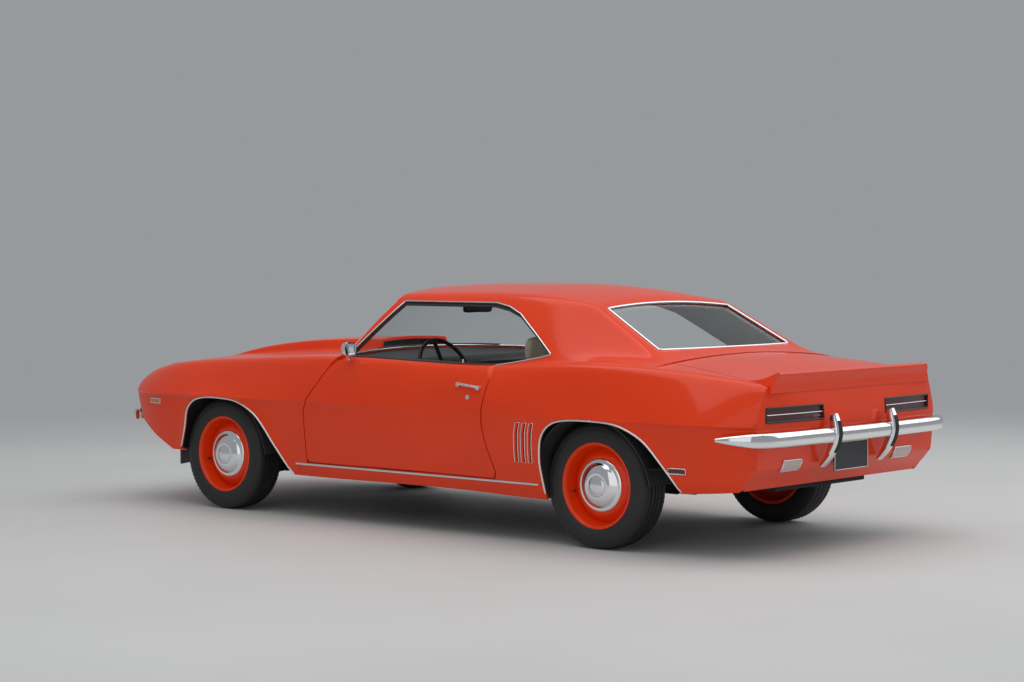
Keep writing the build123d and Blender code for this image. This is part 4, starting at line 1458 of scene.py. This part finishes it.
def points_of(mesh):
    """The points of a mesh as rows."""
    flat = np.empty(len(mesh.vertices) * 3)
    mesh.vertices.foreach_get("co", flat)
    return flat.reshape(-1, 3)


def applied(thing):
    """Turns an object's modifiers into its mesh."""
    mesh = plain_mesh(thing)
    thing.modifiers.clear()
    thing.data = mesh


def swollen(thing, most):
    """Fills a closed form like a stuffed pad by a short cloth run; no point moves further than most."""
    even = thing.modifiers.new("Even", "REMESH")
    even.mode = "VOXEL"
    even.voxel_size = PAD_VOXEL
    soften = thing.modifiers.new("Soften", "SMOOTH")
    soften.factor = 0.5
    soften.iterations = 8
    applied(thing)
    start = points_of(thing.data)
    cloth = thing.modifiers.new("Pad", "CLOTH")
    cloth.settings.quality = 4
    cloth.settings.mass = 0.4
    cloth.settings.use_pressure = True
    cloth.settings.uniform_pressure_force = PAD_PRESSURE
    cloth.settings.effector_weights.gravity = 0
    cloth.collision_settings.use_collision = False
    cloth.point_cache.frame_end = PAD_FRAMES
    for step in range(1, PAD_FRAMES + 1):
        bpy.context.scene.frame_set(step)
    applied(thing)
    bpy.context.scene.frame_set(1)
    move = points_of(thing.data) - start
    length = np.linalg.norm(move, axis=1, keepdims=True)
    capped = start + move * np.minimum(1, most / np.maximum(length, 1e-9))
    thing.data.vertices.foreach_set("co", capped.ravel())
    thing.data.shade_smooth()


def stuffed(name, rings, most, fill, *nodes):
    """A padded piece from rings of points, swollen and made finer."""
    thing = Sheets().add_bar(rings).make(name, look("seat"), 180, 0.05)
    swollen(thing, most * MM)
    fine = thing.modifiers.new("Fine", "SUBSURF")
    fine.levels = 1
    fine.render_levels = 1
    return seat(thing, "car_body", "seat_vinyl", *nodes)


def piped(name, thing, line):
    """Dark piping along a line drawn near a padded piece and laid on its surface."""
    form = BVHTree.FromObject(thing, bpy.context.evaluated_depsgraph_get())
    spots = [form.find_nearest(Vector(p) * MM) for p in line]
    laid = np.array([(spot + normal * 0.001) / MM for spot, normal, *_ in spots])
    bead(name, [laid], 3.2, "dark_vinyl")


# Padded forms: stations along each with half sizes there
SEAT_Y = 380
SEAT_CUSHION = [(-334, 372, 196, 40), (-318, 372, 210, 52), (-200, 366, 216, 54), (0, 366, 218, 55),
                (100, 368, 214, 52), (128, 366, 206, 44), (138, 362, 190, 30)]
SEAT_BACK = [(420, 196, 40), (440, 208, 48), (560, 214, 50), (700, 212, 47), (800, 202, 44), (860, 186, 40),
             (890, 164, 34), (904, 130, 24)]
HEAD_REST = [(900, 84, 18), (912, 102, 26), (960, 112, 30), (1000, 108, 28), (1018, 92, 22), (1024, 70, 14)]
SEAT_BASE = [(247, 196), (290, 190), (330, 176)]
BENCH = [(-548, 60), (-530, 76), (-300, 82), (0, 74), (300, 82), (530, 76), (548, 60)]
BENCH_BACK = [(-576, 180), (-556, 206), (-300, 214), (0, 208), (300, 214), (556, 206), (576, 180)]
MIRROR_CASE = [(-114, 16), (-110, 24), (-90, 29), (0, 31), (90, 29), (110, 24), (114, 16)]

# Sections of the shelf and of the board behind the rear seat as x and height
SHELF = [(-1150, 868), (-1170, 884), (-1190, 888), (-1470, 906), (-1510, 908)]
SEAT_BOARD = [(-1126, 424), (-1160, 650), (-1196, 878)]

DIAL_X, DIAL_Z, DIAL_RADIUS = 352, 775, 58


def back_x(z):
    """The leaning middle plane of a front seat's back."""
    return -348 - 0.372 * (z - 400)


class CAR_OT_cabin(bpy.types.Operator):
    """Dash with its dials, steering wheel, padded seats, rear shelf and the inside mirror"""
    bl_idname = "car.cabin"
    bl_label = "Cabin"

    def execute(self, context):
        copy_of("dashboard", "dark_vinyl")
        copy_of("steering_wheel", "black", "dash_vinyl", 50)
        for side, name in SIDES:
            self.front_seat(SEAT_Y * side, name, ["front_seats"] if name == "left" else [])
        self.rear_seat()
        self.dash_top()
        self.dials()
        self.inside_mirror()
        return {"FINISHED"}

    def front_seat(self, y, name, stands_for):
        """A front seat: cushion, back with piping, head rest and base."""
        most = size("pad_swell")
        rings = [soft_ring((x, y, z), (0, half, 0), (0, 0, high)) for x, z, half, high in SEAT_CUSHION]
        stuffed("seat_cushion_" + name, rings, most, 0.7, *stands_for)
        rings = [soft_ring((back_x(z), y, z), (depth, 0, 0), (0, half, 0)) for z, half, depth in SEAT_BACK]
        back = stuffed("seat_back_" + name, rings, most, 0.7)
        outer = [(back_x(z) + 30, half + 12, z) for z, half, _ in SEAT_BACK[1:-1]]
        around = [(x, y + half, z) for x, half, z in outer]
        around += [(x, y - half, z) for x, half, z in outer[::-1]]
        piped("seat_piping_" + name, back, rounded(around, 16))
        rings = [soft_ring((-556 - 0.1 * (z - 960), y, z), (depth, 0, 0), (0, half, 0))
                 for z, half, depth in HEAD_REST]
        stuffed("head_rest_" + name, rings, most * 2 / 3, 0.8)
        rings = [soft_ring((-100, y, z), (half, 0, 0), (0, half - 4, 0), 0.3) for z, half in SEAT_BASE]
        Sheets().add_bar(rings).put("seat_base_" + name, "dark_vinyl", merge=0.05)

    def rear_seat(self):
        """The rear bench with the shelf and the board behind it."""
        rings = [soft_ring((-815, y, 342), (172, 0, -10), (0, 0, high)) for y, high in BENCH]
        stuffed("rear_cushion", rings, size("pad_swell"), 0.7, "rear_seat")
        rings = [soft_ring((-1094, y, 650), (46, 0, 0), (-38, 0, high)) for y, high in BENCH_BACK]
        stuffed("rear_back", rings, size("pad_swell"), 0.7)
        y = run(-575, 575, 50)
        shelf = Sheets().add(*ring_grid([stack(x, y, z) for x, z in SHELF]), (0, 0, 1))
        shelf.put("rear_shelf", "liner", wall=8)
        board = Sheets().add(*ring_grid([stack(x, y, z) for x, z in SEAT_BOARD]), (-1, 0, 0))
        board.put("seat_board", "liner", wall=4)

    def dash_top(self):
        """The dash's upper face, from its edge to the foot of the windscreen."""
        y = run(-730, 730, 40)
        foot_x = screen_foot_x(y) - 12
        foot = stack(foot_x, y, deck_z(foot_x, y) - 14)
        edge = stack(424, y, 877)
        rows = [edge + (foot - edge) * part for part in (0, 0.35, 0.7, 1)]
        Sheets().add(*ring_grid(rows), (0, 0, 1)).put("dash_top", "dark_vinyl", wall=6)

    def dials(self):
        """Two round dials with plain ticks and a needle, and a bright strip across the dash."""
        rims, ticks = [], []
        turn = np.linspace(0, 2 * pi, 41)
        for y in (300, 444):
            rims.append(stack(DIAL_X + 6 * np.sin(turn), y + DIAL_RADIUS * np.cos(turn),
                              DIAL_Z + DIAL_RADIUS * np.sin(turn)))
            for k in range(9):
                a = radians(-40 + 32.5 * k)
                lean = 6 / DIAL_RADIUS * sin(a)
                ends = [(DIAL_X + 1 + r * lean, y + r * cos(a), DIAL_Z + r * sin(a)) for r in (40, 50)]
                ticks.append(ends)
            ticks.append([(DIAL_X, y, DIAL_Z), (DIAL_X + 1, y - 26, DIAL_Z + 21)])
        bead("dial_rims", rims, 4)
        bead("dial_ticks", ticks, 1.4, "border")
        bead("dash_strip", [stack(363, run(-700, 200, 40), 735)], 4)

    def inside_mirror(self):
        """The inside mirror on its arm."""
        rings = [soft_ring((225, y, 1165 - 6 * (y / 115) ** 2), (9, 0, 1), (-3, 0, high))
                 for y, high in MIRROR_CASE]
        case = Sheets().add_bar(rings)
        case.put("mirror_case", "black", "cabin_mirror", slot="dash_vinyl", sharp=60, merge=0.05)
        bead("mirror_arm", [[(226, 0, 1172), (228, 0, 1205), (224, 0, 1252)]], 5, "black", "dash_vinyl")


# Solids that keep their own form and take a finish
PLAIN_NODES = {
    "under": ("floor_pan", "wheel_housings", "front_frame", "exhaust", "fuel_tank", "rear_axle"),
    "cast": ("engine", "knuckle_left", "knuckle_right"),
    "clear": ("reverse_lamps",),
    "plate": ("number_plate",),
}

# Rocker cover as x and half sizes, and air cleaner as height and radius
ROCKER_COVER = [(1010, 44, 20), (1016, 56, 32), (1030, 60, 36), (1530, 60, 36), (1544, 56, 32),
                (1550, 44, 20)]
AIR_CLEANER = [(738, 60), (760, 62), (764, 168), (770, 174), (812, 174), (818, 168), (822, 120), (826, 30)]


class CAR_OT_under(bpy.types.Operator):
    """Finishes of the solids that show from below, the trunk's wells and the engine's dress"""
    bl_idname = "car.under"
    bl_label = "Underbody"

    def execute(self, context):
        for finish, names in PLAIN_NODES.items():
            for name in names:
                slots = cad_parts[name].data.materials
                slots.clear()
                slots.append(look(finish))
        x = run(-1600, -2146, 40)
        floor_z = 424
        rows = [stack(x, 600, floor_z), stack(x, side_y(x, 440) - 20, floor_z)]
        Sheets().add_pair(*ring_grid(rows), (0, 0, 1)).put("trunk_wells", "under", wall=3)
        self.engine_dress()
        return {"FINISHED"}

    def engine_dress(self):
        """Rocker covers and a round air cleaner on the engine block."""
        covers = Sheets()
        for y in (-165, 165):
            covers.add_bar([soft_ring((x, y, 752), (0, half, 0), (0, 0, high), 0.5)
                            for x, half, high in ROCKER_COVER])
        covers.put("rocker_covers", "trim", merge=0.05)
        rings = [soft_ring((1300, 0, z), (r, 0, 0), (0, r, 0), 1.0) for z, r in AIR_CLEANER]
        Sheets().add_bar(rings).put("air_cleaner", "black", merge=0.05)


def lamp_line(y0, y1, z0, z1, proud):
    """A rectangle round a lamp, laid on the tail."""
    y, z = box(y0, y1, z0, z1, 20).T
    return stack(tail_x(y, z) - proud, y, z)


class CAR_OT_trim(bpy.types.Operator):
    """Mouldings of wheel openings, rockers, windows and lamps, with the windows' dark seals"""
    bl_idname = "car.trim"
    bl_label = "Mouldings"

    def execute(self, context):
        self.wheel_openings()
        bead("rocker_mouldings", twin([on_skin([(782, 304), (-985, 304)], 1)]), 7)
        self.side_windows()
        self.windscreen()
        self.rear_window()
        self.tail()
        return {"FINISHED"}

    def wheel_openings(self):
        """Bright lips of the wheel openings, and dark flanges inside the rear ones."""
        lips = []
        for arch, low in ((FRONT_ARCH, 335), (REAR_ARCH, 256)):
            behind = arch[:, 0] < arch[:, 0].mean()
            x, z = arch[arch[:, 1] > np.where(behind, SILL_Z(arch[:, 0]) + 6, low)].T
            lips.append(stack(x, skin_y(x, z) - 2, z))
        bead("wheel_lips", twin(lips), 5.5)
        rear = lips[1]
        deep = rear - (0, 110, 0)
        middle = np.array((REAR_ARCH[:, 0].mean(), 0, AXLE_Z))
        deep[:, ::2] += (deep - middle)[:, ::2] * 0.04
        flanges = Sheets().add_pair(*ring_grid([rear - (0, 6, 0), deep]), (0, 0, -1))
        flanges.put("arch_flanges", "under", wall=2)

    def side_windows(self):
        """Dark seals inside the side windows, bright rails over them and bright rear sills."""
        top = straight(WINDOW_TOP, 12)
        inward = left_of(top)
        inward *= np.where(inward[:, 1:] > 0, -1, 1)
        wide = np.interp(top[:, 0], [-974, -700, -560, 438], [10, 12, 20, 20])
        rows = []
        for part in (0, 0.5, 1):
            x, z = (top + inward * (wide * part)[:, None]).T
            z = np.maximum(z, 900)
            rows.append(stack(x, cabin_y(x, z) - 7, z))
        seals = Sheets().add_pair(*ring_grid(rows), (0, 1, 0.2))
        seals.put("window_seals", "rubber", slot="black_paint", wall=6)
        x, z = top.T
        bead("drip_rails", twin([stack(x, cabin_y(x, z) + 2, z + 2)]), 4.5)
        x, z = straight(WINDOW_SILL, 12).T
        bead("quarter_window_sills", twin([stack(x, cabin_y(x, z) + 2, z)]), 4.5)

    def windscreen(self):
        """A bright line up the pillars, under the roof and along the foot of the windscreen."""
        x, y = header_line(16).T
        header = stack(x, y, screen_z(x, y) - 6)
        y = run(800, 0, 24)
        x = screen_foot_x(y) + 2
        foot = stack(x, y, deck_z(x, y) + 2)
        bead("windscreen_mouldings", twin([np.concatenate([header, foot])]), 4.5)

    def rear_window(self):
        """A bright line round the rear window."""
        x, y = rear_window_line(16).T
        half = stack(x, y, rear_glass_z(x, y) + 2)
        bead("rear_window_moulding", [np.concatenate([half, half[-2::-1] * MIRRORED])], 7)

    def tail(self):
        """Frames and dividers of the tail lamps, frames of the reverse lamps and the plate's border."""
        bead("tail_lamp_frames", twin([lamp_line(283, 733, 667, 735, 0)]), 5, "black")
        y = run(286, 730, 24)
        bead("tail_lamp_dividers", twin([stack(tail_x(y, 702) + 2, y, 702)]), 2.4)
        bead("reverse_lamp_frames", twin([lamp_line(424, 578, 424, 478, 4)]), 3.2)
        bead("plate_border", [stack(-2257, *box(-149, 149, 403, 539, 40).T)], 2.6, "border")


# Door handle in side view, arm rest as x and half sizes, and mirror head as x and half-width
HANDLE = [(-442, 791), (-470, 793), (-560, 784), (-604, 777)]
ARM_REST = [(-360, 12, 16), (-352, 22, 24), (-300, 27, 28), (0, 27, 28), (120, 24, 26), (180, 16, 20),
            (190, 8, 12)]
MIRROR_HEAD = [(399, 8), (396, 22), (386, 34), (370, 41), (352, 44), (347, 43), (346, 40)]
MIRROR_Y, MIRROR_Z = 893, 950

# Side markers: name, x, height, half length and finish
MARKERS = [("front", 1990, 600, 52, "amber"), ("rear", -1842, 424, 46, "red")]


def stub(x, z, reach):
    """A short line out of the body side."""
    y = float(side_y(x, z))
    return np.array([(x, y - 6, z), (x, y + reach, z)])


class CAR_OT_fittings(bpy.types.Operator):
    """Door handles, locks and inside fittings, louvres, side markers, the outside mirror and the wipers"""
    bl_idname = "car.fittings"
    bl_label = "Fittings"

    def execute(self, context):
        for side, name in SIDES:
            turn = np.array((1, side, 1))
            body = f"door_{name}_body"
            self.door_outside(turn, body, name)
            self.door_inside(turn, body, name)
            self.belt_moulding(turn, body, name)
        self.louvres()
        self.markers()
        self.outside_mirror()
        self.wipers()
        return {"FINISHED"}

    def door_outside(self, turn, body, name):
        """Handle with its bases, and the key lock."""
        grip = on_skin(HANDLE, 15, 12)
        grip[0, 1] -= 14
        bead("door_handle_" + name, [grip * turn], 7, body=body)
        bead("handle_bases_" + name, [stub(-600, 777, 17) * turn, stub(-452, 790, 12) * turn], 13, body=body)
        bead("door_lock_" + name, [stub(-529, 727, 4) * turn], 13, body=body)

    def door_inside(self, turn, body, name):
        """Arm rest, window crank, latch handle and lock knob on the inside of a door."""
        rings = [soft_ring((x, float(side_y(x, 600)) - 116, 606), (0, wide, 0), (0, 0, high)) * turn
                 for x, wide, high in ARM_REST]
        rest = Sheets().add_bar(rings if turn[1] > 0 else rings[::-1])
        rest.put("arm_rest_" + name, "dark_vinyl", body=body, sharp=60, merge=0.05)
        y = float(side_y(210, 560)) - 104
        crank = [(210, y + 4, 560), (210, y - 12, 560), (232, y - 14, 500), (240, y - 14, 470),
                 (240, y - 38, 470)]
        handle = [(330, y + 4, 640), (330, y - 12, 640), (270, y - 14, 652)]
        bead("door_controls_" + name, [straight(line, 8) * turn for line in (crank, handle)], 6, body=body)
        x = -390
        y = SHOULDER_Y(x) - 56
        z = deck_z(x, y)
        bead("lock_knob_" + name, [stack(x, y, [z - 30, z + 22]) * turn], 5, body=body)

    def belt_moulding(self, turn, body, name):
        """The dark strip along the top of a door."""
        x = run(440, -640, 24)
        y = top_edge_y(x) - 2
        bead("belt_moulding_" + name, [stack(x, y, deck_z(x, y) + 1) * turn], 3, "black", body=body)

    def louvres(self):
        """Three slanted louvres ahead of each rear wheel, with painted shade as flat black sheets in them.
        """
        slots, rims, fins = Sheets(), [], []
        for x in (-862, -908, -954):
            lean = [(x + 8, 412), (x + 6, 480), (x, 560), (x - 14, 614)]
            front = on_skin([(a + 13, z) for a, z in lean], 1.2)
            back = on_skin([(a - 13, z) for a, z in lean], 1.2)
            slots.add_pair(*ring_grid([front, back]), (0, 1, 0))
            rims.append(np.concatenate([front, back[::-1], front[:1]]))
            fins.append(on_skin([(a + 1, z) for a, z in lean], 3))
        # Flat black sheets laid on the skin: painted shade for the louvres' recesses
        slots.put("louvre_slots", "black")
        bead("louvre_rims", twin(rims), 2.4)
        bead("louvre_fins", twin(fins), 6, "paint")

    def markers(self):
        """Side marker lamps near the four corners."""
        for name, x, z, half, finish in MARKERS:
            low, middle, high = [on_skin([(x - half, z + up), (x + half, z + up)], proud)
                                 for up, proud in ((-13, 2), (0, 5), (13, 2))]
            lamps = Sheets().add_pair(*ring_grid([low, middle, high]), (0, 1, 0))
            lamps.put("side_marker_" + name, finish, wall=4, sharp=60)
            bead("marker_frame_" + name, twin([np.concatenate([low, high[::-1], low[:1]])]), 2.6)

    def outside_mirror(self):
        """The driver's door mirror: a rounded head with its glass to the rear, on a short stem."""
        body = "door_left_body"
        a, b = soft_turn(np.linspace(0, 2 * pi, 33)[::-1], 0.62)
        rows = [stack(x, MIRROR_Y + half * a, MIRROR_Z + half * 0.9 * b) for x, half in MIRROR_HEAD]
        disc = [tuple(range(len(a) - 1))]
        head = Sheets().add(*ring_grid(rows)).add(rows[0], disc)
        head.put("mirror_head", "trim", "door_mirror", body=body, wall=2)
        _, y, z = rows[-1].T
        glass = stack(360 - 0.29 * (y - MIRROR_Y) + 0.09 * (z - MIRROR_Z), y, z)
        Sheets().add(glass, disc, (-1, 0, 0)).put("mirror_face", "mirror", body=body)
        stem = rounded([(382, 866, 893), (378, 876, 906), (374, 888, 916)], 4)
        bead("mirror_stem", [stem], 11, body=body)

    def wipers(self):
        """Two wiper arms parked along the foot of the windscreen."""
        arms = []
        for pivot_y, tip_y in ((420, 30), (-180, -560)):
            y = run(pivot_y, tip_y, 30)
            x = screen_foot_x(y) + 8 - 14 * np.linspace(0, 1, len(y))
            arms.append(stack(x, y, np.maximum(screen_z(x, y), deck_z(x, y)) + 9))
        bead("wipers", arms, 4, "black")


# Bumper guard: its outer face as x and height, and its section as depth and distance from its middle
GUARD_Y = 258
GUARD = [(-2336, 692), (-2352, 650), (-2361, 606), (-2356, 560), (-2338, 516), (-2306, 470), (-2264, 428)]
GUARD_SECTION = [(44, -20), (26, -25), (9, -26), (3, -21), (0, -12), (0, 12), (3, 21), (9, 26), (26, 25),
                 (44, 20)]


class CAR_OT_rear(bpy.types.Operator):
    """Rear valance, bumper with its guards, and the tail lamps' lenses"""
    bl_idname = "car.rear"
    bl_label = "Rear end"

    def execute(self, context):
        valance = Sheets().add_pair(*valance_sheet(), (-1, 0, 0))
        valance.put("valance_skin", "paint", "rear_valance", wall=size("panel_edge"), sharp=38)
        bumper("rear_bumper", REAR_BUMPER, REAR_SECTION, 589, REAR_HEIGHTS)
        self.guards()
        self.lenses()
        return {"FINISHED"}

    def guards(self):
        """Two upright guards on the bumper, with rubber strips down their faces."""
        outer = rounded(GUARD, 12)
        inward = left_of(outer)
        part = np.linspace(0, 1, len(outer))
        deep = np.interp(part, [0, 0.12, 0.6, 1], [0.7, 1, 1, 0.4])
        wide = np.interp(part, [0, 0.06, 0.16], [0.66, 0.9, 1])
        rings = []
        for place, normal, depth, width in zip(outer, inward, deep, wide):
            spots = [(place + normal * (d * depth), h * width) for d, h in GUARD_SECTION]
            ring = [(x, GUARD_Y + across, z) for (x, z), across in spots]
            rings.append(np.array(ring + ring[:1]))
        guards = Sheets().add_bar(rings).add_bar([ring[::-1] * MIRRORED for ring in rings])
        guards.put("bumper_guards", "trim", sharp=50)
        x, z = (outer - inward)[3:-8].T
        strips = [stack(x, GUARD_Y + d, z) for d in (-9, -3, 3, 9)]
        bead("guard_rubbers", twin(strips), 4.5, "rubber", "dam_black")

    def lenses(self):
        """Two rows of red lens in each tail lamp."""
        lamps = Sheets()
        for z0, z1 in ((669, 701), (703, 733)):
            points, faces = end_net([box(285, 731, z0, z1, 16)[:-1]], tail_x, 16)
            lamps.add_pair(points + (7, 0, 0), faces, (-1, 0, 0))
        lamps.put("tail_lenses", "red", "tail_lamps", wall=8, sharp=60)


# Lights: name, place, aim, size and power
LIGHTS = [
    ("key", (-7.5, -9.5, 8.5), (-0.5, 0, 0.6), 14.0, 760),
    ("top", (-1.0, 1.0, 8.5), (-0.5, 0, 0.8), 11.0, 480),
    ("fill", (-5.0, 9.0, 3.5), (-0.5, 0, 0.6), 8.0, 110),
]
FLOOR_HALF = 60
CAMERA_PLACE = (-8.303, 9.522, 1.465)
CAMERA_YAW = -49.019
CAMERA_PITCH = -2.217
CAMERA_LENS = 79.42


def fading_floor():
    """A pale floor that gives way to the plain background far from the car."""
    made, tree, shader = material("PaleFloor", (0.62, 0.62, 0.61), 0.6)
    tinted(tree, shader, noise(tree, 0.6, 4), (0.60, 0.60, 0.59), (0.64, 0.64, 0.63))
    place = node(tree, "ShaderNodeTexCoord")
    reach = node(tree, "ShaderNodeVectorMath", operation="LENGTH")
    ends = {"From Min": 4.0, "From Max": 11.0}
    fade = node(tree, "ShaderNodeMapRange", interpolation_type="SMOOTHSTEP", **ends)
    clear = node(tree, "ShaderNodeBsdfTransparent")
    mix = node(tree, "ShaderNodeMixShader")
    tree.links.new(place.outputs["Object"], reach.inputs[0])
    tree.links.new(reach.outputs["Value"], fade.inputs["Value"])
    tree.links.new(fade.outputs["Result"], mix.inputs["Fac"])
    tree.links.new(shader.outputs["BSDF"], mix.inputs[1])
    tree.links.new(clear.outputs["BSDF"], mix.inputs[2])
    tree.links.new(mix.outputs["Shader"], tree.nodes["Material Output"].inputs["Surface"])
    return made


def aimed(thing, place, direction):
    """Puts a light or camera at a place, looking along a direction."""
    thing.location = place
    thing.rotation_mode = "QUATERNION"
    thing.rotation_quaternion = direction.to_track_quat("-Z", "Y")
    return thing


class CAR_OT_stage(bpy.types.Operator):
    """Pale floor, soft lights and the camera"""
    bl_idname = "car.stage"
    bl_label = "Stage"

    def execute(self, context):
        context.scene.view_settings.view_transform = "Standard"
        self.floor()
        self.lights(context.scene)
        self.camera(context.scene)
        return {"FINISHED"}

    def floor(self):
        """A wide floor at road level."""
        mesh = bpy.data.meshes.new("floor")
        corners = [(x * FLOOR_HALF, y * FLOOR_HALF, 0) for x, y in ((-1, -1), (1, -1), (1, 1), (-1, 1))]
        mesh.from_pydata(corners, [], [(0, 1, 2, 3)])
        mesh.materials.append(fading_floor())
        linked("floor", mesh)

    def lights(self, scene):
        """A pale sky and three large soft lights."""
        scene.world = bpy.data.worlds.new("Studio")
        scene.world.use_nodes = True
        sky = scene.world.node_tree.nodes["Background"]
        sky.inputs["Color"].default_value = (0.86, 0.89, 0.93, 1)
        sky.inputs["Strength"].default_value = 0.36
        for name, place, aim, width, power in LIGHTS:
            light = bpy.data.lights.new(name, "AREA")
            light.energy = power
            light.size = width
            aimed(linked(name, light), place, Vector(aim) - Vector(place))

    def camera(self, scene):
        """The view from the car's rear left."""
        camera = bpy.data.cameras.new("photo_view")
        camera.sensor_width = 36
        camera.lens = CAMERA_LENS
        yaw, pitch = radians(CAMERA_YAW), radians(CAMERA_PITCH)
        ahead = Vector((cos(pitch) * cos(yaw), cos(pitch) * sin(yaw), sin(pitch)))
        scene.camera = aimed(linked("photo_view", camera), CAMERA_PLACE, ahead)


class CAR_PT_panel(bpy.types.Panel):
    """The car's finishes, sizes and pieces in the sidebar"""
    bl_label = "Hardtop car"
    bl_idname = "CAR_PT_panel"
    bl_space_type = "VIEW_3D"
    bl_region_type = "UI"
    bl_category = "Car"

    def draw(self, context):
        for group in (context.scene.car_finish, context.scene.car_sizes):
            for setting in type(group).__annotations__:
                self.layout.prop(group, setting)
        for piece in PIECES:
            self.layout.operator(piece.bl_idname)


PIECES = (CAR_OT_body, CAR_OT_front, CAR_OT_doors, CAR_OT_lids, CAR_OT_wheels, CAR_OT_glass, CAR_OT_cabin,
          CAR_OT_trim, CAR_OT_fittings, CAR_OT_rear, CAR_OT_under, CAR_OT_stage)
CLASSES = (FinishSettings, SizeSettings, *PIECES, CAR_PT_panel)


def register():
    """Adds the settings, operators and panel to Blender."""
    for entry in CLASSES:
        bpy.utils.register_class(entry)
    bpy.types.Scene.car_finish = bpy.props.PointerProperty(type=FinishSettings)
    bpy.types.Scene.car_sizes = bpy.props.PointerProperty(type=SizeSettings)


def unregister():
    """Takes them out again."""
    del bpy.types.Scene.car_sizes
    del bpy.types.Scene.car_finish
    for entry in reversed(CLASSES):
        bpy.utils.unregister_class(entry)


def main():
    """Builds every piece."""
    register()
    for piece in PIECES:
        group, name = piece.bl_idname.split(".")
        getattr(getattr(bpy.ops, group), name)()


if __name__ == "__main__":
    main()
